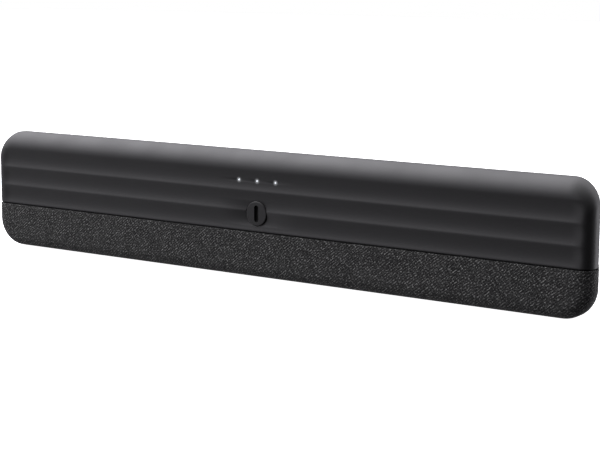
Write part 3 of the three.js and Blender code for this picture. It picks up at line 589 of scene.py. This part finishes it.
# %% Turned pieces
def turned(profile, x, z, steps=64):
    """Spins a profile of (radius, t) pairs about an axis along the depth."""
    bm = bmesh.new()
    points = [bm.verts.new((r, t + FRONT_Y, 0)) for r, t in profile]
    line = [bm.edges.new(pair) for pair in zip(points, points[1:])]
    bmesh.ops.spin(
        bm, geom=points + line, cent=(0, 0, 0), axis=(0, 1, 0), angle=2 * math.pi,
        steps=steps, use_merge=True,
    )
    bmesh.ops.remove_doubles(bm, verts=bm.verts, dist=1e-4)
    bmesh.ops.recalc_face_normals(bm, faces=bm.faces)
    bmesh.ops.translate(bm, vec=(x, 0, z), verts=bm.verts)
    return bm


# %% [markdown]
# ## Front button
# A flat round cap stands out of the flutes, level with their creases. Its face has one plain
# upright groove, as a mark to find by touch. The cap could be a disc extruded back, but a turned
# profile gives the rolled rim of the face and the flange behind the shell in one go. The groove
# is cut afterwards.

# %% Front button
button_low, button_high = box_mm("front_button")
FACE_T = button_low.y - FRONT_Y
FLANGE_T = button_high.y - FRONT_Y - 1
FLANGE_RADIUS = BUTTON_RADIUS + 1.2
GROOVE_WIDTH, GROOVE_LENGTH, GROOVE_DEPTH = 4.2, 14, 2.2
CAP_EDGE, CAP_EDGE_STEPS = 1, 6
cap_profile = [
    (0, FACE_T),
    *[
        (BUTTON_RADIUS - CAP_EDGE * (1 - math.sin(a)), FACE_T + CAP_EDGE * (1 - math.cos(a)))
        for a in (i / CAP_EDGE_STEPS * math.pi / 2 for i in range(CAP_EDGE_STEPS + 1))
    ],
    (BUTTON_RADIUS, FLANGE_T), (FLANGE_RADIUS, FLANGE_T),
    (FLANGE_RADIUS, FLANGE_T + 1), (0, FLANGE_T + 1),
]
cap = object_from(turned(cap_profile, 0, BUTTON_Z, 96), "button_cap")
carve(cap, [
    pill(GROOVE_WIDTH, GROOVE_LENGTH, FACE_T - 1, FACE_T + GROOVE_DEPTH, 0, BUTTON_Z),
])
rounded(cap, 0.3, angle=50, segments=3)
settle(cap, "front_button", "button_plastic", "front_button")

# %% [markdown]
# ## Status lights
# Three clear light pipes end in small domes, flush with the bottom of the top flute. Behind
# the shell each one has a flange that keeps it from being pushed out.

# %% Light pipes
for name, place in zip(LIGHTS, LIGHT_PLACES):
    low, high = box_mm(name)
    t0, t1 = low.y - FRONT_Y, high.y - FRONT_Y
    profile = [
        (0, t0), (0.45, t0 + 0.03), (0.78, t0 + 0.14), (0.94, t0 + 0.3), (1, t0 + 0.5),
        (1, t1 - 1), (2, t1 - 1), (2, t1), (0, t1),
    ]
    pipe = object_from(turned(profile, place.x, place.z, 32), f"{name}_lens")
    settle(pipe, "case", "light_guide", name)

# %% [markdown]
# ## Bass ports and hanging plates
# Behind the bar, two round tubes let the bass out. Their mouths have a soft lip, and the tube
# widens again inside the case. They are turned like the light pipes, with more steps because
# they are large. The hanging plates are pressed steel with a keyhole: a block with a round
# head and an upright slot cut through it.

# %% Bass ports
PORT_BORE = 12
for side, word in SIDES:
    low, high = box_mm(f"{word}_bass_port")
    t0, t1 = low.y - FRONT_Y, high.y - FRONT_Y
    outer = PORT_OUTER
    profile = [
        (PORT_BORE + 0.75, t1), (PORT_BORE + 0.3, t1 - 0.1), (PORT_BORE, t1 - 0.6),
        (PORT_BORE, t0 + 6), (PORT_BORE + 0.3, t0 + 4), (PORT_BORE + 1.1, t0 + 2),
        (PORT_BORE + 2.5, t0), (outer + 2.5, t0), (outer + 0.6, t0 + 3), (outer, t0 + 5),
        (outer, DEPTH - WALL - 2), (outer + 3, DEPTH - WALL - 2), (outer + 3, DEPTH - WALL - GAP),
        (outer, DEPTH - WALL - GAP), (outer, t1 - 0.4), (PORT_BORE + 1.1, t1),
        (PORT_BORE + 0.75, t1),
    ]
    tube = object_from(turned(profile, side * PORT_X, PORT_Z, 96), f"{word}_port_tube")
    settle(tube, "case", "frame_plastic", f"{word}_bass_port")

# %% Hanging plates
HEAD_RADIUS, SLOT_WIDTH, SLOT_RISE = 5, 5, 10
for _, word in SIDES:
    low, high = box_mm(f"{word}_keyhole_plate")
    x, z = (low.x + high.x) / 2, (low.z + high.z) / 2 - SLOT_RISE / 2
    t0, t1 = low.y - FRONT_Y, high.y - FRONT_Y
    plate = object_from(block(low.x, high.x, t0, t1, low.z, high.z), f"{word}_hanging_plate")
    carve(plate, [
        rod(HEAD_RADIUS, t0 - 1, t1 + 1, x, z, 64),
        pill(SLOT_WIDTH, SLOT_WIDTH + SLOT_RISE, t0 - 1, t1 + 1, x, z + SLOT_RISE / 2),
    ])
    rounded(plate, 0.2)
    settle(plate, "case", "plated_steel", f"{word}_keyhole_plate")

# %% [markdown]
# ## Feet
# Four rubber feet sit in pockets of the bottom plate. Each is a turned pad with a rounded
# edge, drawn about an upright axis.

# %% Feet
FOOT_EDGE = 0.6
for name in ("front_left_foot", "front_right_foot", "rear_left_foot", "rear_right_foot"):
    low, high = box_mm(name)
    radius, tall = (high.x - low.x) / 2, high.z - low.z
    bm = bmesh.new()
    bmesh.ops.create_circle(bm, cap_ends=True, segments=64, radius=radius)
    made = bmesh.ops.extrude_face_region(bm, geom=bm.faces[:])["geom"]
    bmesh.ops.translate(
        bm, vec=(0, 0, tall), verts=[g for g in made if isinstance(g, bmesh.types.BMVert)],
    )
    bmesh.ops.recalc_face_normals(bm, faces=bm.faces)
    rim = [e for e in bm.edges if all(v.co.z < ON_PLANE for v in e.verts)]
    bmesh.ops.bevel(
        bm, geom=rim, offset=FOOT_EDGE, offset_type="OFFSET", segments=4, profile=0.5,
        affect="EDGES", material=-1,
    )
    bmesh.ops.translate(
        bm, vec=((low.x + high.x) / 2, (low.y + high.y) / 2, low.z), verts=bm.verts,
    )
    settle(object_from(bm, f"{name}_pad"), "case", "soft_rubber", name)

# %% [markdown]
# ## Parts that keep their shape
# The bottom plate, the socket panel, the sockets and the small button beside them have the right
# shape in CAD, but their edges are knife-sharp. A copy of each mesh is merged and its flat
# triangles are joined, and a Bevel modifier rounds what is left.

# %% Softened copies
SOFTENED = {
    "bottom_plate": ("case", "frame_plastic", 0.35),
    "port_panel": ("case", "frame_plastic", 0.3),
    "power_inlet": ("case", "black_component", 0.35),
    "hdmi_socket": ("case", "plated_steel", 0.12),
    "usb_socket": ("case", "plated_steel", 0.12),
    "aux_socket": ("case", "black_component", 0.25),
    "pairing_button": ("pairing_button", "soft_rubber", 0.1),
}
for name, (body, slot, width) in SOFTENED.items():
    bm = bmesh.new()
    bm.from_mesh(nodes[name].data)
    bmesh.ops.remove_doubles(bm, verts=bm.verts, dist=1e-6)
    bmesh.ops.dissolve_limit(
        bm, angle_limit=math.radians(1), verts=bm.verts, edges=bm.edges,
    )
    bmesh.ops.scale(bm, vec=(1 / MM, 1 / MM, 1 / MM), verts=bm.verts)
    piece = object_from(bm, f"{name}_softened")
    rounded(piece, width, angle=35)
    settle(piece, body, slot, name)

# %% [markdown]
# ## Writing materials
# A material is a small network of nodes. One class holds the material and makes any node from
# its type, its settings and the values of its sockets. A second wraps a socket, so that maths
# on values can be written as plain expressions.

# %% Node helpers
class Wire:
    """A value on its way between two nodes. Arithmetic on it adds Math nodes."""

    def __init__(self, finish, socket):
        self.finish, self.socket = finish, socket

    def maths(self, operation, *values):
        return self.finish.node(
            "ShaderNodeMath", {"operation": operation}, dict(enumerate(values)),
        )

    def __add__(self, other):
        return self.maths("ADD", self, other)

    def __sub__(self, other):
        return self.maths("SUBTRACT", self, other)

    def __rsub__(self, other):
        return self.maths("SUBTRACT", other, self)

    def __mul__(self, other):
        return self.maths("MULTIPLY", self, other)

    def __pow__(self, other):
        return self.maths("POWER", self, other)

    __radd__, __rmul__ = __add__, __mul__

    def wave(self, length):
        """A sine between 0 and 1 that repeats each time the value grows by `length`."""
        turned = self * (2 * math.pi / length)
        return turned.maths("SINE", turned) * 0.5 + 0.5

    def ramp(self, low, high, to_low=0.0, to_high=1.0):
        """Moves smoothly from to_low to to_high while the value goes from low to high."""
        return self.finish.node(
            "ShaderNodeMapRange", {"interpolation_type": "SMOOTHSTEP"},
            {"Value": self, "From Min": low, "From Max": high, "To Min": to_low, "To Max": to_high},
        )


class Finish:
    def __init__(self, name, colour, roughness, **constants):
        self.material = bpy.data.materials.new(name)
        self.material.use_nodes = True
        self.tree = self.material.node_tree
        self.shader = self.tree.nodes["Principled BSDF"]
        self.feed(self.shader, "Base Color", (*colour, 1))
        self.feed(self.shader, "Roughness", roughness)
        for socket, value in constants.items():
            self.feed(self.shader, socket.replace("_", " "), value)
        self.material.diffuse_color = (*colour, 1)
        self.material.roughness = roughness

    def feed(self, node, socket, value):
        if isinstance(value, Wire):
            self.tree.links.new(value.socket, node.inputs[socket])
        else:
            node.inputs[socket].default_value = value

    def node(self, kind, settings=None, sockets=None, output=0):
        made = self.tree.nodes.new(kind)
        for setting, value in (settings or {}).items():
            setattr(made, setting, value)
        for socket, value in (sockets or {}).items():
            self.feed(made, socket, value)
        return Wire(self, made.outputs[output])

    def mapped(self, where, **change):
        """A place moved, turned or scaled."""
        return self.node("ShaderNodeMapping", None, {"Vector": where, **change})

    def place(self, scale=(1, 1, 1)):
        """The place on the piece, in metres, scaled along each axis."""
        return self.mapped(self.node("ShaderNodeTexCoord", output="Object"), Scale=scale)

    def noise(self, where, size, detail=2.0, roughness=0.5):
        """Soft noise whose blobs are about `size` metres across."""
        return self.node("ShaderNodeTexNoise", None, {
            "Vector": where, "Scale": 1 / size, "Detail": detail, "Roughness": roughness,
        })

    def mix(self, share, first, second):
        """Two colours mixed by a value."""
        made = self.tree.nodes.new("ShaderNodeMix")
        made.data_type = "RGBA"
        self.feed(made, 0, share)
        self.feed(made, 6, (*first, 1) if isinstance(first, tuple) else first)
        self.feed(made, 7, (*second, 1) if isinstance(second, tuple) else second)
        return Wire(self, made.outputs[2])

    def parts(self, where):
        """The three numbers of a place, each on its own."""
        split = self.node("ShaderNodeSeparateXYZ", None, {0: where}).socket.node
        return [Wire(self, socket) for socket in split.outputs]

    def bump(self, height, depth):
        """Relief of the surface: a height from 0 to 1, times a depth in metres."""
        return self.node("ShaderNodeBump", None, {"Height": height, "Distance": depth})

    def set(self, **values):
        for socket, value in values.items():
            self.feed(self.shader, socket.replace("_", " "), value)
        return self.material


# %% [markdown]
# ## Plastic
# The shell is dark grey plastic from a spark-eroded mould: satin, with a fine even grain and
# almost no colour change. The grain is two sizes of noise as bump. Roughness drifts a little
# over centimetres, as it does where a mould wears. The shell and the button share the recipe,
# and the frame plastic is a blacker, duller version.

# %% Plastic finishes
SOFT_LOW, SOFT_HIGH = 0.3, 0.7  # noise seldom leaves this range
GRAIN, GRAIN_DEPTH = 0.00045, 0.00002
LENS_Y = box_mm("centre_light_pipe")[0].y * MM


def grained_plastic(name, colour, roughness, grain=GRAIN, depth=GRAIN_DEPTH):
    """A plastic with its grain, and the slow drift that its roughness will follow."""
    finish = Finish(name, colour, roughness)
    finish.where = finish.place()
    fine = finish.noise(finish.where, grain, 3, 0.6)
    finish.drift = finish.noise(finish.where, 0.035, 2)
    finish.tone = finish.mix(
        fine.ramp(SOFT_LOW, SOFT_HIGH) * 0.6 + finish.drift * 0.4,
        tuple(c * 0.86 for c in colour), tuple(c * 1.18 for c in colour),
    )
    finish.set(Base_Color=finish.tone, Normal=finish.bump(fine, depth))
    return finish


def plain_plastic(name, colour, roughness, grain, depth):
    finish = grained_plastic(name, colour, roughness, grain, depth)
    return finish.set(Roughness=finish.drift.ramp(
        SOFT_LOW, SOFT_HIGH, roughness - 0.03, roughness + 0.04,
    ))


housing_plastic = plain_plastic("housing_plastic", (0.017, 0.017, 0.018), 0.52, 0.0006, 0.00003)
frame_plastic = plain_plastic("frame_plastic", (0.009, 0.009, 0.010), 0.62, 0.0008, 0.00004)
black_component = plain_plastic(
    "black_component", (0.012, 0.012, 0.013), 0.5, 0.0003, 0.00001,
)
print("plain plastic finishes made")

# %% [markdown]
# The shell round each status light has a faint painted glow: emission that stands in for the
# light's halo on the plastic. A ramp on the distance from each light gives that. The button's
# groove is darker than its face by painted shade, and a ramp on depth gives that.

# %% Shell and button plastic
SHELL_GREY = (0.0125, 0.0122, 0.0132)
BUTTON_GREY = (0.0120, 0.0118, 0.0126)
# the colour of the painted shade in the button's groove, darker than the cap's face
GROOVE_PAINTED_SHADE = (0.002, 0.002, 0.002)
# the colour of the painted glow on the shell round each status light
PAINTED_GLOW = (0.21, 0.216, 0.225)


def near_lights(finish, where, full, none):
    """One within `full` metres of a status light, falling to zero at `none`."""
    found = None
    for place in LIGHT_PLACES:
        apart = finish.node("ShaderNodeVectorMath", {"operation": "DISTANCE"}, {
            0: where, 1: (place.x * MM, LENS_Y, place.z * MM),
        }, output="Value")
        near = apart.ramp(full, none, 1, 0)
        found = near if found is None else found + near
    return found


shell_finish = grained_plastic("satin_plastic", SHELL_GREY, 0.46)
# painted glow: emission on the shell, strongest next to each status light
painted_glow = near_lights(shell_finish, shell_finish.where, 0.0008, 0.0034) ** 2
satin_plastic = shell_finish.set(
    Roughness=shell_finish.drift.ramp(SOFT_LOW, SOFT_HIGH, 0.44, 0.5),
    Emission_Color=shell_finish.mix(painted_glow, (0, 0, 0), PAINTED_GLOW), Emission_Strength=1.0,
)
cap_finish = grained_plastic("button_plastic", BUTTON_GREY, 0.42)
depth_in = cap_finish.parts(cap_finish.where)[1]
# painted shade: the cap is darkened from just behind its face, in the groove and on its sides
painted_groove_shade = depth_in.ramp((FRONT_Y + FACE_T + 0.4) * MM, (FRONT_Y + FACE_T + 1) * MM)
button_plastic = cap_finish.set(
    Base_Color=cap_finish.mix(painted_groove_shade, cap_finish.tone, GROOVE_PAINTED_SHADE),
    Roughness=painted_groove_shade * 0.4 + cap_finish.drift.ramp(SOFT_LOW, SOFT_HIGH, 0.4, 0.46),
)
print("shell and button finishes made")

# %% [markdown]
# ## Grille cloth
# The cloth is a heathered twill: warp threads of mixed light and dark grey cross a dark weft on
# the diagonal. The unrolled UV map carries the pattern. Two turned sets of waves give the
# thread relief, and noise stretched along the threads gives each short float its own grey.

# %% Cloth finish
THREAD = 0.0019
TWILL_LEAN = math.radians(-38)


def make_cloth():
    finish = Finish(
        "heathered_twill", (0.05, 0.05, 0.052), 0.92, Sheen_Weight=0.06, Sheen_Roughness=0.5,
    )
    flat = finish.node("ShaderNodeUVMap", {"uv_map": "weave"})
    lean = finish.mapped(flat, Rotation=(0, 0, TWILL_LEAN))
    along, across, _ = finish.parts(lean)
    wobble = finish.noise(flat, 0.004, 2) * 0.0009
    ribs = (across + wobble).wave(THREAD)
    floats = along.wave(THREAD * 1.15)
    fleck = finish.noise(finish.mapped(lean, Scale=(0.55, 1, 1)), 0.0011, 2, 0.7)
    patch = finish.noise(flat, 0.012, 2)
    light = fleck.ramp(0.545, 0.59) + patch.ramp(0.3, 0.75) * 0.1
    raised = ribs * 0.65 + floats * 0.35
    dark = finish.mix(raised, (0.0010, 0.0010, 0.0010), (0.0150, 0.0150, 0.0148))
    return finish.set(
        Base_Color=finish.mix(light * (raised * 0.85 + 0.15), dark, (0.23, 0.23, 0.226)),
        Roughness=fleck.ramp(SOFT_LOW, SOFT_HIGH, 0.86, 0.97),
        Normal=finish.bump(ribs * 0.6 + floats * 0.4 + fleck * 0.5, 0.0003),
    )


heathered_twill = make_cloth()
print("cloth finish made")

# %% [markdown]
# ## Rubber, metal, board and the rest
# The other finishes follow the same recipe with their own numbers: rubber is dull and slightly
# mottled, plated steel shows fine brushing, the board has tracks under green lacquer, and
# the cones are pressed paper.

# %% Other finishes
def brushed_metal(name, colour, roughness, stretch):
    finish = Finish(name, colour, roughness, Metallic=1.0)
    streak = finish.noise(finish.place(scale=stretch), 0.0012, 3, 0.6)
    return finish.set(
        Base_Color=finish.mix(streak, tuple(0.8 * c for c in colour), colour),
        Roughness=streak.ramp(0.25, 0.75, roughness - 0.08, roughness + 0.1),
        Normal=finish.bump(streak, 0.00001),
    )


def fibre(name, colour, roughness, size):
    finish = Finish(name, colour, roughness)
    where = finish.place()
    hair = finish.noise(where, size, 5, 0.7)
    return finish.set(
        Base_Color=finish.mix(hair.ramp(0.35, 0.65), tuple(0.6 * c for c in colour), colour),
        Roughness=hair.ramp(0.2, 0.8, roughness - 0.05, roughness + 0.05),
        Normal=finish.bump(hair, 0.00008),
    )


def lacquered_board():
    finish = Finish("lacquered_board", (0.012, 0.085, 0.04), 0.35)
    where = finish.place()
    tracks = finish.node("ShaderNodeTexBrick", {"offset": 0.35, "squash": 0.6}, {
        "Vector": where, "Scale": 260.0, "Mortar Size": 0.035, "Color1": (1, 1, 1, 1),
        "Color2": (0.9, 0.9, 0.9, 1), "Mortar": (0, 0, 0, 1),
    }, output="Fac")
    return finish.set(
        Base_Color=finish.mix(tracks, (0.010, 0.075, 0.036), (0.03, 0.16, 0.07)),
        Roughness=finish.noise(where, 0.004).ramp(0.3, 0.7, 0.3, 0.42),
        Normal=finish.bump(tracks, 0.00003),
    )


def lit_lens():
    finish = Finish("lit_lens", (0.8, 0.82, 0.85), 0.3, Emission_Strength=0.7)
    where = finish.place()
    cloud = finish.noise(where, 0.0006, 1)
    return finish.set(
        Base_Color=finish.mix(cloud, (0.7, 0.72, 0.76), (0.85, 0.87, 0.9)),
        Emission_Color=finish.mix(
            near_lights(finish, where, 0.0004, 0.0010), (0.08, 0.08, 0.085), (0.92, 0.96, 1.0),
        ),
    )


rubber = fibre("soft_rubber", (0.010, 0.010, 0.011), 0.78, 0.0009)
paper = fibre("pressed_paper", (0.045, 0.040, 0.036), 0.9, 0.0012)
jacket = fibre("cable_jacket", (0.012, 0.012, 0.013), 0.55, 0.0007)
steel = brushed_metal("plated_steel", (0.52, 0.53, 0.55), 0.32, (1, 1, 12))
aluminium = brushed_metal("fin_aluminium", (0.66, 0.67, 0.69), 0.36, (10, 1, 1))
board = lacquered_board()
lens = lit_lens()
print("other finishes made")

# %% [markdown]
# ## Giving out the finishes
# Each new piece takes its finish by its material slot, so the record and the picture agree, and
# each imported part that stays on show takes its finish from a table of part names. The housing
# is the one exception: it shares the shell's slot, but comes from a coarser mould.

# %% Assign
BY_SLOT = {
    "shell_plastic": satin_plastic, "button_plastic": button_plastic,
    "grille_cloth": heathered_twill, "frame_plastic": frame_plastic, "soft_rubber": rubber,
    "light_guide": lens, "circuit_board": board, "black_component": black_component,
    "paper_cone": paper, "plated_steel": steel, "fin_aluminium": aluminium,
    "cable_jacket": jacket,
}


def dress(piece, material):
    piece.data.materials.clear()
    piece.data.materials.append(material)


NODE_FINISH = {
    "front_board": board, "power_board": board, "main_board": board, "heatsink": aluminium,
    "radio_module": steel, "grille_frame": frame_plastic, "chassis": frame_plastic,
    "button_plunger": black_component, "button_switch": black_component,
    "left_speaker_cable": jacket, "right_speaker_cable": jacket, "power_link_cable": jacket,
    "ribbon_cable": jacket,
}
for _, word in SIDES:
    NODE_FINISH.update({
        f"{word}_driver_basket": black_component, f"{word}_driver_gasket": rubber,
        f"{word}_driver_surround": rubber, f"{word}_driver_cone": paper,
        f"{word}_driver_magnet": steel, f"{word}_tweeter": black_component,
    })
for number in range(1, 7):
    NODE_FINISH[f"case_screw_{number}"] = steel
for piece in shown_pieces():
    if piece.name in nodes:
        dress(piece, NODE_FINISH[piece.name])
    else:
        dress(piece, BY_SLOT[piece["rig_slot"]])
dress(housing, housing_plastic)

# %% [markdown]
# ## Floor, light and camera
# The bar stands on a white floor before a white background. Dark satin plastic is drawn almost
# wholly by what it reflects, so the light matters more than the colour. The room is bright
# overhead, for the rolled top edge, and dim in front, so that the flutes stay readable. A black
# flag beside the right end darkens it, and a light strip behind that end draws its outline. Only
# the camera sees the room as plain white.

# %% Floor
floor_mesh = bmesh.new()
bmesh.ops.create_grid(floor_mesh, x_segments=1, y_segments=1, size=6000)
floor = object_from(floor_mesh, "floor")
pale = Finish(
    "pale_floor", (0.9, 0.9, 0.9), 0.9, Emission_Strength=1.05, Emission_Color=(1, 1, 1, 1),
)
pale_cloud = pale.noise(pale.place(), 1.5)
dress(floor, pale.set(Base_Color=pale.mix(pale_cloud, (0.86, 0.86, 0.86), (0.9, 0.9, 0.9))))
floor.visible_glossy = False
floor.visible_diffuse = False

# %% Light
scene = bpy.context.scene
scene.view_settings.view_transform = "Standard"
world = bpy.data.worlds.new("white_room")
scene.world = world
world.use_nodes = True
air = world.node_tree
SKY_LOW, SKY_HIGH = 0.52, 4.6  # how bright the room is below and above
FLAG = 0.06  # how much of it is left beside the bar, where a black flag stands
STRIP = 1.6  # how bright the light strip behind the right end is
COOL = (1.0, 0.985, 1.035, 1)
WHITE = (1, 1, 1, 1)
backdrop = air.nodes["Background"]


def air_node(kind, settings=None, sockets=None):
    made = air.nodes.new(kind)
    for setting, value in (settings or {}).items():
        setattr(made, setting, value)
    for socket, value in (sockets or {}).items():
        if isinstance(value, bpy.types.NodeSocket):
            air.links.new(value, made.inputs[socket])
        else:
            made.inputs[socket].default_value = value
    return made.outputs


def air_ramp(value, low, high, to_low, to_high):
    return air_node("ShaderNodeMapRange", {"interpolation_type": "SMOOTHSTEP"}, {
        "Value": value, "From Min": low, "From Max": high, "To Min": to_low, "To Max": to_high,
    })[0]


direction = air_node("ShaderNodeTexCoord")["Generated"]
to_side, to_rear, to_sky = air_node("ShaderNodeSeparateXYZ", None, {0: direction})[:3]
def air_maths(operation, first, second):
    return air_node("ShaderNodeMath", {"operation": operation}, {0: first, 1: second})[0]


height = air_maths("POWER", air_ramp(to_sky, -0.05, 0.95, 0.0, 1.0), 1.5)
sky = air_maths("ADD", air_maths("MULTIPLY", height, SKY_HIGH - SKY_LOW), SKY_LOW)
beside = air_maths(
    "MULTIPLY", air_ramp(to_side, -0.66, 0.14, 0.0, 1.0), air_ramp(to_rear, 0.1, 0.6, 1.0, 0.0),
)
flag = air_maths("SUBTRACT", 1.0, air_maths("MULTIPLY", beside, 1 - FLAG))
behind = air_maths(
    "MULTIPLY", air_ramp(to_rear, 0.3, 0.8, 0.0, 1.0), air_ramp(to_side, -0.8, -0.35, 0.2, 0.5),
)
rim = air_maths(
    "MULTIPLY", air_ramp(to_rear, 0.5, 0.85, 0.0, STRIP), air_ramp(to_side, 0.0, 0.35, 0.0, 1.0),
)
walls = air_maths(
    "MULTIPLY", air_maths("MULTIPLY", sky, flag), air_maths("SUBTRACT", 1.0, behind),
)
room = air_maths("ADD", walls, rim)
camera_ray = air_node("ShaderNodeLightPath")["Is Camera Ray"]
seen = air_node("ShaderNodeMix", None, {"Factor": camera_ray, "A": room, "B": 1.0})[0]
air.links.new(seen, backdrop.inputs["Strength"])
colour = air_node("ShaderNodeMix", {"data_type": "RGBA"}, {0: camera_ray, 6: COOL, 7: WHITE})
air.links.new(colour[2], backdrop.inputs["Color"])


def softbox(name, place, target, size, watts):
    lamp = bpy.data.lights.new(name, "AREA")
    lamp.shape, lamp.size, lamp.size_y, lamp.energy = "RECTANGLE", size[0], size[1], watts
    holder = bpy.data.objects.new(name, lamp)
    holder.location = place
    holder.rotation_mode = "QUATERNION"
    holder.rotation_quaternion = (Vector(target) - Vector(place)).to_track_quat("-Z", "Y")
    scene.collection.objects.link(holder)
    return holder


print("room light from", SKY_LOW, "below to", SKY_HIGH, "overhead")
softbox("overhead", (0.0, -0.1, 1.6), (0, 0, 0), (2.4, 1.2), 8)
side_fill = softbox("side_fill", (-0.75, -0.8, 0.5), (-0.2, 0, 0.03), (0.5, 0.5), 4.4)
side_fill.visible_glossy = False

# %% [markdown]
# The camera stands to the right of the bar, a little above it, with a long lens. Its place, its
# heading and its small roll were worked out from the bar's own edges.

# %% Camera
CAMERA_AT = Vector((0.7573, -1.0787, 0.2577))
HEADING, TILT, LEAN = math.radians(34.394), math.radians(9.291), math.radians(0.149)
LENS = 94.2
camera = bpy.data.objects.new("camera", bpy.data.cameras.new("camera"))
scene.collection.objects.link(camera)
scene.camera = camera
camera.data.lens = LENS
camera.data.sensor_width = 36
camera.data.clip_start, camera.data.clip_end = 0.05, 50
level = math.cos(TILT)
look = Vector((-math.sin(HEADING) * level, math.cos(HEADING) * level, -math.sin(TILT)))
camera.location = CAMERA_AT
camera.rotation_mode = "QUATERNION"
camera.rotation_quaternion = look.to_track_quat("-Z", "Y") @ Quaternion((0, 0, 1), LEAN)
print(f"camera at {tuple(CAMERA_AT)} m, lens {LENS} mm")
